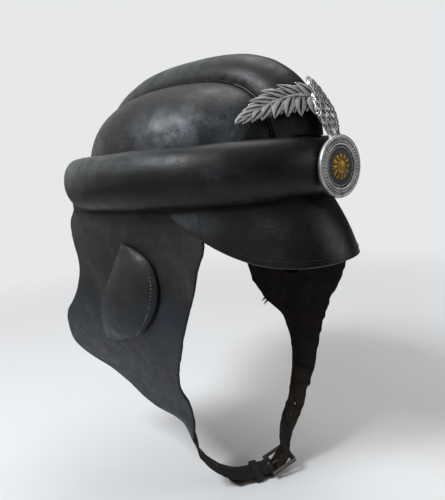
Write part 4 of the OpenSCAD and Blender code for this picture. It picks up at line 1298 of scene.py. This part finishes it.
def strapPiece(name, path, startSide, thick, wide, wear, tip=None):
    # a flat strip carried along its path; its width turns from the flap's edge to the buckle's bar
    path = eased(path)
    t = np.linspace(0, 1, len(path))
    ahead = unit(np.gradient(path, axis=0))
    sides = unit(mix(unit(np.array(startSide, float))[None], acrossStrap[None], smooth(t * 1.5)[:, None]))
    sides = unit(sides - ahead * np.sum(sides * ahead, axis=1, keepdims=True))
    ups = np.cross(ahead, sides)
    length = np.sum(np.linalg.norm(np.diff(path, axis=0), axis=1))

    def at(values, v):
        # what is given for each path point, read at a share of the length
        return np.stack([np.interp(v, t, values[:, k]) for k in range(3)], axis=-1)

    def widthOf(v):
        # the same all along, and a half ellipse at the tip
        w = wide + 0 * v
        if tip:
            w = w * np.sqrt(np.clip(1 - np.clip((v - 1 + tip / length) / (tip / length), 0, 1) ** 2, 0.03, 1))
        return w

    def face(u, v):
        # a little cupped across, with worn edges
        w = widthOf(v)
        ragged = wear * lumps(vec(v * length, u * 3, 0 * v), 5, 51) * np.abs(2 * u - 1) ** 6
        cup = 0.5 * (2 * u - 1) ** 2
        return (at(path, v) + at(sides, v) * ((u - 0.5) * (w + ragged))[..., None]
                + at(ups, v) * (thick / 2 - cup)[..., None])

    def upwardsOf(p):
        # the strip's upper side for each row of the panel
        return np.broadcast_to(at(ups, np.linspace(0, 1, p.shape[0]))[:, None], p.shape)

    panel = leatherPanel(name, face, widthOf, length, thick, 16, int(length / 1.3), strapSkin, upwardsOf,
                         lift=lambda p, u, v: 0.22 * lumps(p, 6, 52) + 0.12 * lumps(p, 2.4, 53))
    return panel, face


loopRadius = strap["wire"] + strap["gap"]
tipSide = np.array(joints["right_strap_swing"]["axis"])
lapIn = flap["thick"] / 2 + strap["thick"] / 2 + 0.1  # the straps lie on the inner side of the flaps' tips
lapUp = 17
rightIn = np.array([tipSide[1], -tipSide[0], 0])
straightFrom = atStrap(-strap["straight"], 0)
shortPath = np.concatenate([
    [rightTip + rightIn * lapIn + (-4.2, 0, lapUp), rightTip + rightIn * lapIn + (-1.0, 0, lapUp / 3)],
    bezier([rightTip, rightTip + (5, 0, -26), atStrap(-strap["straight"] - 26, 3), straightFrom],
           np.arange(2, 10) / 10),
    [straightFrom, atStrap(-strap["straight"] / 2, 0), atStrap(-loopRadius - 0.6, 0)]])
piece = strapPiece("rightStrapLeather", shortPath, tipSide, strap["thick"], strap["wide"], 1.2)[0]
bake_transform(piece)
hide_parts("right_strap")


def strapLoop():
    # the strap's end doubled round the buckle's bar, split in the middle for the prong
    a = np.linspace(-172, 172, 40)
    inner, outer = loopRadius + 0.1, loopRadius + 0.1 + strap["loopThick"]
    rim = np.stack([cosD(a), sinD(a)], axis=-1)
    profile = np.concatenate([inner * rim, (outer * rim)[::-1]])
    ahead, up = toward(strap["rise"]), upFrom(strap["rise"])
    for name, low, high in (("Near", 0.6 - strap["wide"] / 2, -strap["split"]),
                            ("Far", strap["split"], strap["wide"] / 2 - 0.6)):
        across = np.linspace(low, high, 10)
        rounded = 1 - 0.12 * np.exp(-np.minimum(across - low, high - across) / 0.5)
        middle = (inner + outer) / 2
        radial = np.linalg.norm(profile, axis=1, keepdims=True)
        grid = []
        for w, k in zip(across, rounded):
            q = profile / radial * (middle + (radial - middle) * k)
            grid.append(buckleAt + ahead * q[:, :1] + up * q[:, 1:] + acrossStrap * w)
        verts, faces = closedTube(np.array(grid))
        loop = makePiece(f"strapLoop{name}", verts, faces, strapSkin, {"edge": np.full(len(verts), 0.4)})
        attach(loop, "right_strap")


strapLoop()

loopOut = loopRadius + 2
barDrop = loopOut + strap["thick"] / 2 + 3 * strap["gap"]
rollerUp = strap["roller"] + strap["thick"] / 2 + 1
tailDrop = -(strap["thick"] + strap["gap"] + 0.4)
longTop = atBuckle(strap["buckleLength"] + 1.5, rollerUp + 7)
longPath = np.concatenate([
    [leftTip + (-lapIn + 5.5, 0, lapUp), leftTip + (-lapIn + 1.0, 0, lapUp / 3)],
    bezier([leftTip, leftTip + (-12, 2, -28), longTop + (0, -1, 26), longTop], np.arange(2, 9) / 9),
    [longTop, atBuckle(strap["buckleLength"] - 1, rollerUp + 1.2),
     atBuckle(strap["buckleLength"] - 5, rollerUp - 2.4), atBuckle(strap["buckleLength"] / 2 + 1, -1),
     atBuckle(6, -barDrop + 1.1), atStrap(0, -barDrop), atStrap(-6, -barDrop + 0.6)],
    [atStrap(s, tailDrop) for s in (strap["tailFrom"] + 5, strap["tailFrom"], -strap["straight"] + 1)],
    [atStrap(-strap["straight"] + 1 - (strap["tail"] - strap["straight"] + 1) * i / 3,
             tailDrop + 0.35 * i * i - 0.2) for i in (1, 2, 3)]])
piece, longFace = strapPiece("leftStrapLeather", longPath, (0.2, 1, 0.3), strap["thick"], strap["wide"], 1.6,
                             tip=9)


def strapHoles():
    # three adjusting holes above the buckle, and the one that the prong goes through
    run = runAlong(longPath)
    top = np.argmin(np.linalg.norm(longPath - longTop, axis=1))
    v = (run[top] - strap["holeFirst"] - strap["holeStep"] * np.arange(3)) / run[-1]
    half = 0.5 + 0 * v
    at = longFace(half, v)
    du, dv = slopesOf(longFace, half, v)
    normal = unit(np.cross(du, dv))
    prong = toward(strap["buckleRise"] + strap["prongLift"])
    return [(at[i], normal[i], 1.6, 8) for i in range(3)] + [(buckleAt + prong * 13, prong, 1.5, 22)]


drill(piece, strapHoles())
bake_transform(piece)
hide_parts("left_strap")


keeper = {"tall": 3.6, "long": 8.0, "thick": 2.0, "at": -16, "square": 0.35}


def keeperBand():
    # A small leather loop round both straps: powers of sine and cosine give its rounded corners.
    wide = strap["wide"] / 2 + 2 * strap["gap"] - 0.3
    centre = atStrap(keeper["at"], (tailDrop - 2 * strap["gap"]) / 2)
    a = np.linspace(0, 360, 72, endpoint=False)
    w = signedPower(cosD(a), keeper["square"])
    n = signedPower(sinD(a), keeper["square"])
    section = np.linspace(0, 360, 16, endpoint=False)
    along = signedPower(cosD(section), 0.4) * keeper["long"] / 2
    out = signedPower(sinD(section), 0.4) * (keeper["thick"] - 0.3) / 2
    out = out + keeper["thick"] / 2
    grid = (centre + acrossStrap * (w * wide)[:, None, None]
            + upFrom(strap["rise"]) * (n * keeper["tall"])[:, None, None]
            + (acrossStrap * w[:, None] + upFrom(strap["rise"]) * n[:, None])[:, None] * out[None, :, None]
            + toward(strap["rise"]) * along[None, :, None])
    grid = grid + 0.15 * lumps(grid, 4, 61)[..., None]
    verts, faces = closedTube(grid, wrapRows=True)
    edge = np.broadcast_to((np.abs(along) > keeper["long"] * 0.42) * 0.7, grid.shape[:2])
    piece = makePiece("keeperBand", verts, faces, strapSkin, {"edge": edge})
    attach(piece, "keeper")
    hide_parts("strap_keeper")


keeperBand()

# rows of stitches that hold each strap to its flap's tip, on the flap just above the joint
for side, point, depth, sign in (("right", rightPoint, flap["depth"], -1),
                                 ("left", leftPoint, flap["leftDepth"], 1)):
    for row, up in enumerate((4, 9)):
        w = np.linspace(0.14, 0.86, 20)
        line = point(w, 0 * w + depth - up) + np.array([sign * 0.1, 0, 0])
        line[:, 0] += sign * buckled(line)
        tipLook = {"length": 2.3, "thick": 0.4, "pitch": 3.4, "seed": 9 + row}
        name = f"{side}TipStitches_{row + 1}"
        piece = stitches(name, line, (sign, 0, 0), tipLook, brownThread, f"{side}_flap")
print("straps done")


# inside

liningHigh = boxOf("crown_lining")[1]
bandLow, bandHigh = boxOf("sweatband")
lining = {"width": 190, "length": 220, "thick": 1.2, "gore": 60}


def liningPiece():
    # Six gores of cotton drawn over the shell: each seam is a shallow groove from the rim to the crown.
    off = dome["halfWidth"] - liningHigh[0]

    def gores(points, u, v):
        # a groove at each seam, by the square of the distance from it
        az = np.degrees(np.arctan2(points[..., 1], points[..., 0]))
        fromMiddle = np.abs(np.mod(az, lining["gore"]) - lining["gore"] / 2)
        r = np.hypot(points[..., 0], points[..., 1])
        fromSeam = (lining["gore"] / 2 - fromMiddle) * math.pi / 180 * r
        groove = np.exp(-(fromSeam / 1.6) ** 2)
        return 0.55 * groove - 0.25 + 0.2 * lumps(points, 12, 71)

    def face(u, v):
        # the dome's square, inside the shell
        return domeSquare(off, mix(-1, 1, u), mix(1, -1, v))

    piece = leatherPanel("liningCotton", face, lambda v: lining["width"], lining["length"], lining["thick"],
                         110, 120, liningCloth, lambda p: p, "root", lift=gores)
    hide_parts("crown_lining")


liningPiece()


def bandAround(name, box, thick, material, wave=0.12):
    # a standing strip carried round an oval: a flat closed section with rounded edges, gently waved
    (outerX, outerY, high), low = box[1] - (0.1, 0.1, 0.3), box[0][2] + 0.3
    az = np.linspace(0, 360, 260, endpoint=False)[:, None]
    section = np.linspace(0, 360, 40, endpoint=False)[None]
    h = signedPower(sinD(section), 0.22)
    t = signedPower(cosD(section), 0.6)
    z = mix(low, high, (h + 1) / 2) + 0 * az
    out = unit(vec(cosD(az) * outerY, sinD(az) * outerX, 0 * az))
    middle = vec((outerX - thick / 2) * cosD(az), (outerY - thick / 2) * sinD(az), 0 * az)
    p = middle + out * (thick / 2 * t + 0 * az)[..., None]
    p[..., 2] = z
    p = p + out * (wave * lumps(vec(az * 1.3, 0 * az, z), 9, 73))[..., None]
    p[..., 2] += wave * 1.5 * waves(az * 1.2, 12, 74)
    verts, faces = closedTube(p, wrapRows=True)
    edge = np.broadcast_to(np.clip((np.abs(h) - 0.93) / 0.07, 0, 1), p.shape[:2])
    piece = makePiece(name, verts, faces, material, {"edge": edge})
    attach(piece, "root")
    return piece


piece = bandAround("sweatbandLeather", (bandLow, bandHigh), 1.4, bandSkin)
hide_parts("sweatband")
piece = bandAround("feltPad", boxOf("felt_band"), 3.8, feltCloth)
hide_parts("felt_band")


def ovalLine(x, y, z, count=500):
    # points round an oval: (x cos a, y sin a, z)
    a = np.linspace(0, 360, count, endpoint=False)
    return vec(x * cosD(a), y * sinD(a), z + 0 * a)


bandIn = 1.65
for row, z in (("low", bandLow[2] + 3.2), ("high", bandHigh[2] - 3.2)):
    line = ovalLine(bandHigh[0] - bandIn, bandHigh[1] - bandIn, z)
    bandLook = {"length": 2.2, "thick": 0.26, "pitch": 3.2, "seed": 12}
    piece = stitches(f"sweatbandStitches_{row}", line, lambda q: -outFromAxis(q), bandLook, brownThread,
                     closed=True)
print("inside done")


# badge

plateLow, plateHigh = boxOf("badge_plate")
medalLow, medalHigh = boxOf("badge_medallion")
medal = {"radius": 25, "thick": 4, "turn": 12, "field": 16.5, "boss": 10.5}
medalMiddle = (medalLow + medalHigh) / 2
turnBy = math.radians(medal["turn"])
medalAxis = np.array([-math.sin(turnBy), -math.cos(turnBy), 0])
medalAcross = np.array([math.cos(turnBy), -math.sin(turnBy), 0])
medalBack = medalMiddle - medalAxis * medal["thick"] / 2
upwards = np.array([0, 0, 1.0])


def onMedal(r, a, h):
    # polar place on the medallion: r from its middle, a round it, h in front of its back
    return (medalBack + medalAcross * (r * cosD(a))[..., None] + upwards * (r * sinD(a))[..., None]
            + medalAxis * np.asarray(h)[..., None])


def turned(name, profile, relief, material, slot, count=144, recessFrom=None):
    # A closed disc or ring turned from (radius, height) pairs; relief(a, r, h) adds height, and what lies low
    # is marked as a recess for the dirt.
    profile = np.array(profile, float)
    a = np.linspace(0, 360, count, endpoint=False)[None]
    r, h = profile[:, :1] + 0 * a, profile[:, 1:] + 0 * a
    raised = h + relief(a, r, h)
    grid = onMedal(r, a + 0 * r, raised)
    index = np.arange(grid.shape[0] * count).reshape(grid.shape[0], count)
    verts = grid.reshape(-1, 3)
    faces = outwards(verts, quads(index, wrapCols=True, wrapRows=profile[0, 0] > 1))
    low = recessFrom(a + 0 * r, r, raised) if recessFrom else np.zeros(r.shape)
    piece = makePiece(name, verts, faces, material, {"recess": np.clip(low, 0, 1)})
    tidyMesh(piece)
    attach(piece, "root")
    return piece


def arc(centre, radius, start, end, count):
    # centre + radius (cos a, sin a), for a from start to end
    a = np.linspace(start, end, count)
    return np.stack([centre[0] + radius * cosD(a), centre[1] + radius * sinD(a)], axis=1)


def medalRim():
    # A broad ring with a rolled outer lip, a wreath of small oblique flutes and a raised inner lip.
    outer, inner = medal["radius"], medal["field"] + 0.2
    top = medal["thick"]
    band = np.stack([np.linspace(outer - 3.6, inner + 2.0, 14), np.full(14, top - 1.1)], axis=1)
    profile = np.concatenate([
        [[inner, 0.1], [outer - 1.2, 0.0], [outer - 0.3, 0.35], [outer, 1.2]],
        arc((outer - 1.6, top - 1.5), 1.5, 0, 180, 12), band,
        arc((inner + 1.0, top - 1.0), 0.9, 0, 180, 9), [[inner, 1.0]]])

    def flutes(a, r, h):
        # |sin 24 a|, turned a little with the radius
        t = (r - (inner + 2.0)) / (outer - 3.6 - inner - 2.0)
        inBand = np.clip(1 - np.abs(2 * t - 1) ** 4, 0, 1) * (t > 0) * (t < 1)
        wave = np.abs(sinD(a * 24 + 70 * t))
        return np.where((h > 1.5), inBand * (1.15 * wave ** 0.7 - 0.15), 0)

    def recess(a, r, h):
        # dark between the flutes
        t = (r - (inner + 2.0)) / (outer - 3.6 - inner - 2.0)
        inBand = (t > -0.15) & (t < 1.15) & (h > 1.5)
        return np.where(inBand, np.clip(1.0 - (h - (top - 1.25)) / 0.7, 0, 1), 0)

    return turned("medallionRim", profile, flutes, silver, "badge_silver", count=360, recessFrom=recess)


piece = medalRim()
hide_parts("badge_medallion")


def beadRing(name, radius, size, count, height, material):
    # beads round the medallion, each a small ball of a few dozen faces
    lat = np.linspace(-90, 90, 6)
    lon = np.linspace(0, 360, 8, endpoint=False)
    ball = vec(cosD(lat)[:, None] * cosD(lon)[None], cosD(lat)[:, None] * sinD(lon)[None],
               sinD(lat)[:, None] + 0 * lon)
    a = np.linspace(0, 360, count, endpoint=False)
    centre = onMedal(np.full(count, float(radius)), a, np.full(count, float(height)))
    b = ball.reshape(-1, 3) * size
    verts = (centre[:, None] + b[None, :, :1] * medalAcross + b[None, :, 1:2] * upwards
             + b[None, :, 2:] * medalAxis)
    one = len(b)
    faces = quads(np.arange(one).reshape(6, 8), wrapCols=True)
    if volumeSign(verts[0], faces) < 0:
        faces = faces[:, ::-1]
    allFaces = (faces[None] + one * np.arange(count)[:, None, None]).reshape(-1, 4)
    recess = np.broadcast_to(np.clip(0.5 - ball[..., 2].ravel(), 0, 1)[None], (count, one))
    piece = makePiece(name, verts.reshape(-1, 3), allFaces, material, {"recess": recess})
    tidyMesh(piece)
    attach(piece, "root")


beadRing("medallionBeads", medal["radius"] - 3.1, 0.62, 76, medal["thick"] - 0.75, silver)
beadRing("fieldBeads", medal["field"] - 1.3, 0.6, 58, medal["thick"] - 1.3, silver)

fieldProfile = [[0.02, 1.0], [medal["field"] - 0.2, 1.0], [medal["field"] - 0.05, 1.6],
                [medal["field"] - 0.3, 2.6],
                *[[r, 2.75 - 0.05 * math.cos(r)] for r in np.linspace(medal["field"] - 0.8, 0.4, 24)],
                [0.02, 2.8]]
piece = turned("medallionField", fieldProfile,
               lambda a, r, h: np.where(h > 2.2, 0.14 * np.abs(sinD(a * 18)) * np.clip(r / 10, 0, 1), 0),
               enamel, "badge_enamel")
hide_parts("badge_field")


def bossRosette():
    # A plain dome in the middle of a ring of twelve round petals.
    petals = 12
    reach = medal["boss"]
    profile = [[0.02, 2.6], [reach * 0.93, 2.6],
               *[[reach * k, 2.8 + 1.2 * math.sqrt(max(1 - k ** 4, 0))] for k in np.linspace(1.0, 0.55, 14)],
               *[[reach * k, 3.3 + 2.2 * math.sqrt(max(1 - (k / 0.55) ** 2, 0))]
                 for k in np.linspace(0.545, 0.06, 16)],
               [0.02, 5.5]]

    def petal(a, r, h):
        # each petal rises as the cosine of six times the angle
        k = r / reach
        edge = np.abs(cosD(a * petals / 2))
        ringShare = smooth((k - 0.55) / 0.08) * (h > 2.7)
        return ringShare * (0.9 * edge ** 0.6 - 0.75)

    def recess(a, r, h):
        # dark between the petals and round the middle dome
        k = r / reach
        edge = np.abs(cosD(a * petals / 2))
        return np.where(k > 0.57, np.clip(1.0 - 1.5 * edge, 0, 1), 0) + np.exp(-((k - 0.56) / 0.025) ** 2)

    return turned("bossRosette", profile, petal, gilt, "badge_gilt", count=240, recessFrom=recess)


piece = bossRosette()
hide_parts("badge_boss")


plate = {"low": plateLow[2], "high": plateHigh[2], "yLow": plateLow[1]}


def plateY(x, z):
    # the sloping, swept-back surface that the ornament follows
    slope = plate["slope"]
    return plate["yLow"] + slope * (z - plate["low"]) + 0.85 * np.clip(np.abs(x) - 9, 0, None) + 0.001 * x * x


crestFace = crestPoint(0, np.linspace(10, 60, 400), np.full(400, 90.0))
frontAtTop = np.interp(plate["high"], crestFace[:, 2], crestFace[:, 1])
plate["slope"] = (frontAtTop - 8 - plate["yLow"]) / (plate["high"] - plate["low"])


def budScales():
    # A closed bud on a stout stem. Its half width is read along its height; the front is rounded, and rows of
    # pointed scales overlap upwards: height falls within each scale from its tip to its root.
    outline = [[0, 8.5], [0.08, 8.0], [0.18, 9.5], [0.34, 12.2], [0.5, 12.4], [0.64, 10.6], [0.78, 8.2],
               [0.9, 5.2], [0.97, 2.6], [1, 0.5]]
    rows, cols = 150, 96
    t = np.linspace(0, 1, rows)[:, None]
    a = np.linspace(-180, 180, cols, endpoint=False)[None]
    low, high = plate["low"] - 2.2, plate["high"] + 1.2
    z = mix(low, high, t)
    w = through(outline, t)
    x = w * sinD(a)
    scaleRows, scaleCols = 9.5, 7.0
    row = t * scaleRows
    shift = np.mod(np.floor(row), 2) * 0.5
    col = (a + 90) / 180 * scaleCols + shift
    du = np.abs(np.mod(col, 1) - 0.5) * 2
    dr = np.mod(row, 1)
    tipLine = dr + 0.55 * du ** 1.6
    inScale = np.mod(tipLine, 1)
    onFront = (cosD(a) > 0.02) & (t > 0.12)
    relief = np.where(onFront, 1.5 * (inScale - 0.5), 0)
    relief = relief * smooth((t - 0.12) / 0.08) * smooth((1.02 - t) / 0.1)
    rib = np.where(onFront, 0.3 * np.exp(-(np.mod(col, 1) - 0.5) ** 2 / 0.004), 0) * smooth((t - 0.12) / 0.1)
    reach = (w * 0.62 + relief + rib) * np.abs(cosD(a)) ** 0.75
    y = plateY(0 * x, z + 0 * x) + 1.0 - np.where(cosD(a) > 0, reach, -1.2 * np.abs(cosD(a)))
    x = x * (1 + 0.04 * relief * (np.abs(sinD(a)) > 0.6))
    grid = vec(x, y, z + 0 * x)
    verts, faces = closedTube(grid)
    recess = np.where(onFront, np.clip(1.15 - inScale * 2.6, 0, 1), 0.35 + 0 * inScale) + 0 * x
    recess = np.concatenate([recess[:1], recess[:1], recess, recess[-1:], recess[-1:]])
    piece = makePiece("budOrnament", verts, faces, silver, {"recess": recess})
    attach(piece, "root")
    return piece


def onPlate(x, z, lift):
    # a place above the ornament's surface
    return vec(x, plateY(x, z) - lift, z)


def leafShape(count=9, rows=18):
    # one pointed leaf along +u, unit long and unit wide: width rises fast and runs out to a point, the blade
    # is cupped, and a groove runs down the midrib
    t = np.linspace(0, 1, rows)[:, None]
    s = np.linspace(-1, 1, count)[None]
    w = np.sin(np.pi * t ** 0.75) ** 0.8 * (1 - 0.12 * t)
    w = np.where(t > 0.98, 0.02, np.maximum(w, 0.09))
    cup = 0.55 * (1 - s * s) - 0.45 * np.exp(-(s / 0.14) ** 2)
    veins = 0.11 * np.abs(np.sin(t * 34 - np.abs(s) * 5)) * (1 - np.abs(s)) * np.abs(s) * 4
    dark = np.clip(np.exp(-(s / 0.2) ** 2) + 0.7 * np.abs(s) ** 8, 0, 1) + 0 * t
    return t + 0 * s, s * w, (cup + veins) * w, dark


def leafSpray(side, sign):
    # A laurel sprig of two layers: leaves spring from both sides of a curved stem, each given by its place
    # along the stem, its side, its angle and its length, and bend by the square of the way along it.
    stemX = np.array([6, 14, 24, 34, 44, 52])
    stemZ = np.array([53, 55, 54.5, 51, 46, 42.5])
    path = onPlate(sign * stemX, stemZ, 1.0)
    stem = tubeAlong(f"sprigStem_{side}", eased(path), lambda t: 1.25 - 0.65 * t, (0, -1, 0), silver,
                     sides=10, step=1.0, marks={"recess": 0.15})
    roots = [(12, 1, 58, 11), (20, 1, 40, 12), (28, 1, 24, 12.5), (36, 1, 8, 12), (13, -1, -68, 12.5),
             (19, -1, -60, 13.5), (25, -1, -53, 14), (31, -1, -46, 14), (37.5, -1, -40, 13),
             (9, 1, 66, 13.5), (16, 1, 46, 15), (24, 1, 30, 15.5), (32, 1, 14, 15), (40, 1, -2, 13.5),
             (10, -1, -72, 15), (16, -1, -64, 16.5), (22, -1, -56, 17), (28, -1, -48, 17),
             (34.5, -1, -43, 16), (41, -1, -38, 14), (47, 1, -14, 12), (47, -1, -34, 12),
             (50.5, 1, -26, 11.5)]
    t, across, h, dark = leafShape()
    verts, faces, recess, base = [], [], [], 0
    one = t.size
    index = np.arange(one).reshape(t.shape)
    for number, (x0, half, angle, length) in enumerate(roots):
        z0 = np.interp(x0, stemX, stemZ) + half * 0.4
        wide = 4.2 - 0.03 * x0
        bendBy = -9 * t * t
        c, s = cosD(angle + bendBy), sinD(angle + bendBy)
        u = x0 + length * t * c - across * wide * s
        z = z0 + length * t * s + across * wide * c
        lift = (0.2 if number < 9 else 1.1) + 0.26 * h * wide + 0.8 * np.sin(np.pi * t) + (number % 3) * 0.28
        for drop in (0.0, 0.75):
            verts.append(onPlate(sign * u, z, lift - drop).reshape(-1, 3))
        rim = np.concatenate([index[0], index[1:, -1], index[-1, ::-1][1:], index[::-1, 0][1:-1]])
        wall = np.stack([rim, np.roll(rim, -1), np.roll(rim, -1) + one, rim + one], axis=1)
        local = np.concatenate([quads(index), quads(index + one)[:, ::-1], wall[:, ::-1]])
        faces.append(local + base)
        recess.append(np.concatenate([dark.ravel(), 0.6 + 0 * dark.ravel()]))
        base += 2 * one
    piece = makePiece(f"leafSpray_{side}", np.concatenate(verts), np.concatenate(faces), silver,
                      {"recess": np.concatenate(recess)})
    tidyMesh(piece, 1e-6)
    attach(piece, "root")


bud = budScales()
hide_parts("badge_plate")
leafSpray("right", -1)
leafSpray("left", 1)
print("badge done")


# materials of the frame nodes that stay

kept = {"skull_cap": boardSkin, "ring_filling": hairCloth, "crest_filling": hairCloth,
        "visor_board": boardSkin, "badge_posts": silverPosts, "badge_nuts": silverPosts,
        "buckle_frame": oldSteel, "buckle_prong": oldSteel, "buckle_roller": oldSteel}
for name, material in kept.items():
    for slot in nodes[name].material_slots:
        slot.material = material


# stage, lamps and camera

studio = {"floor": (0.82, 0.82, 0.82), "sky": (0.94, 0.95, 0.965), "shown": 0.85, "fill": 0.25, "dim": 0.05,
          "floorGlow": 0.22, "windowWay": (-0.55, 0.55, 0.63), "dimTo": -0.35, "brightFrom": 0.75,
          "fadeFrom": 0.35, "fadeTo": 1.3}


def floorMaterial():
    # pale floor that fades into the backdrop's colour away from the helmet
    material, tree, shader = nodeTree("pale floor")
    where = tree.nodes.new("ShaderNodeTexCoord").outputs["Object"]
    shade = span(tree, noise(tree, where, 3, 3, 0.5), 0.35, 0.65)
    feed(tree, blendColour(tree, shade, studio["floor"], tuple(c * 0.97 for c in studio["floor"])),
         shader.inputs["Base Color"])
    shader.inputs["Roughness"].default_value = 0.8
    distance = tree.nodes.new("ShaderNodeVectorMath")
    distance.operation = "LENGTH"
    tree.links.new(where, distance.inputs[0])
    ray = tree.nodes.new("ShaderNodeLightPath")
    far = times(tree, span(tree, distance.outputs["Value"], studio["fadeFrom"], studio["fadeTo"]),
               sums(tree, "MAXIMUM", ray.outputs["Is Camera Ray"], ray.outputs["Is Glossy Ray"]))
    glow = tree.nodes.new("ShaderNodeEmission")
    glow.inputs["Color"].default_value = (*studio["sky"], 1)
    feed(tree, span(tree, ray.outputs["Is Camera Ray"], 0, 1, studio["floorGlow"], studio["shown"]),
         glow.inputs["Strength"])
    both = tree.nodes.new("ShaderNodeMixShader")
    tree.links.new(far, both.inputs[0])
    tree.links.new(shader.outputs[0], both.inputs[1])
    tree.links.new(glow.outputs[0], both.inputs[2])
    output = next(node for node in tree.nodes if node.type == "OUTPUT_MATERIAL")
    tree.links.new(both.outputs[0], output.inputs["Surface"])
    return material


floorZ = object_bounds()[0][2] / mm - 0.4
size = 9000
corner = np.array([[-size, -size, floorZ], [size, -size, floorZ], [size, size, floorZ],
                   [-size, size, floorZ]])
floor = makePiece("floor", corner, [[0, 1, 2, 3]], floorMaterial())

world = bpy.data.worlds.new("studio")
bpy.context.scene.world = world
world.use_nodes = True
tree = world.node_tree
tree.nodes.clear()
output = tree.nodes.new("ShaderNodeOutputWorld")
sky = tree.nodes.new("ShaderNodeBackground")
sky.inputs["Color"].default_value = (*studio["sky"], 1)
ray = tree.nodes.new("ShaderNodeLightPath")
mirrored = sums(tree, "MAXIMUM", ray.outputs["Is Glossy Ray"], ray.outputs["Is Transmission Ray"])
# the room is brightest towards the window and darkest opposite to it
facing = tree.nodes.new("ShaderNodeVectorMath")
facing.operation = "DOT_PRODUCT"
tree.links.new(tree.nodes.new("ShaderNodeTexCoord").outputs["Generated"], facing.inputs[0])
facing.inputs[1].default_value = studio["windowWay"]
room = span(tree, facing.outputs["Value"], studio["dimTo"], studio["brightFrom"], studio["dim"],
            studio["shown"])
above = sums(tree, "SUBTRACT", room, studio["fill"])
inside = sums(tree, "ADD", studio["fill"], times(tree, mirrored, above))
strength = sums(tree, "ADD", inside, times(tree, ray.outputs["Is Camera Ray"],
                                          sums(tree, "SUBTRACT", studio["shown"], inside)))
feed(tree, strength, sky.inputs["Strength"])
tree.links.new(sky.outputs[0], output.inputs["Surface"])

# the camera's three directions and place, in the frame's axes
view = {"right": (0.6404, -0.7632, -0.0865), "up": (0.2020, 0.0587, 0.9776),
        "ahead": (0.7410, 0.6435, -0.1917),
        "at": (-344.96, -323.41, 11.40), "lens": 33.2}
right, up, ahead = (np.array(view[key]) for key in ("right", "up", "ahead"))
camera = bpy.data.objects.new("camera", bpy.data.cameras.new("camera"))
camera.data.lens = view["lens"]
camera.data.clip_start = 0.01
camera.matrix_world = Matrix([[right[k], up[k], -ahead[k], view["at"][k] * mm] for k in range(3)]
                             + [[0, 0, 0, 1]])
bpy.context.scene.collection.objects.link(camera)
bpy.context.scene.camera = camera


def lamp(name, offset, power, size, colour=(1, 1, 1)):
    # a soft square lamp: offset is to the right, up and towards the camera from the origin, in metres
    light = bpy.data.lights.new(name, "AREA")
    light.energy, light.size, light.color = power, size, colour
    holder = bpy.data.objects.new(name, light)
    at = right * offset[0] + up * offset[1] - ahead * offset[2]
    target = np.array([0, 0, -0.05])
    z = unit(at - target)
    x = unit(np.cross((0, 0, 1), z))
    y = np.cross(z, x)
    holder.matrix_world = Matrix([[x[k], y[k], z[k], at[k]] for k in range(3)] + [[0, 0, 0, 1]])
    bpy.context.scene.collection.objects.link(holder)


lamp("window", (-0.80, 0.80, 0.80), 20, 0.42, (0.92, 0.96, 1.0))
lamp("ceiling", (0.1, 1.5, -0.1), 9, 0.9)
lamp("side", (1.2, 0.35, 0.35), 2.2, 0.5, (1.0, 0.98, 0.95))
bpy.context.scene.view_settings.view_transform = "Standard"

print("scene ready")
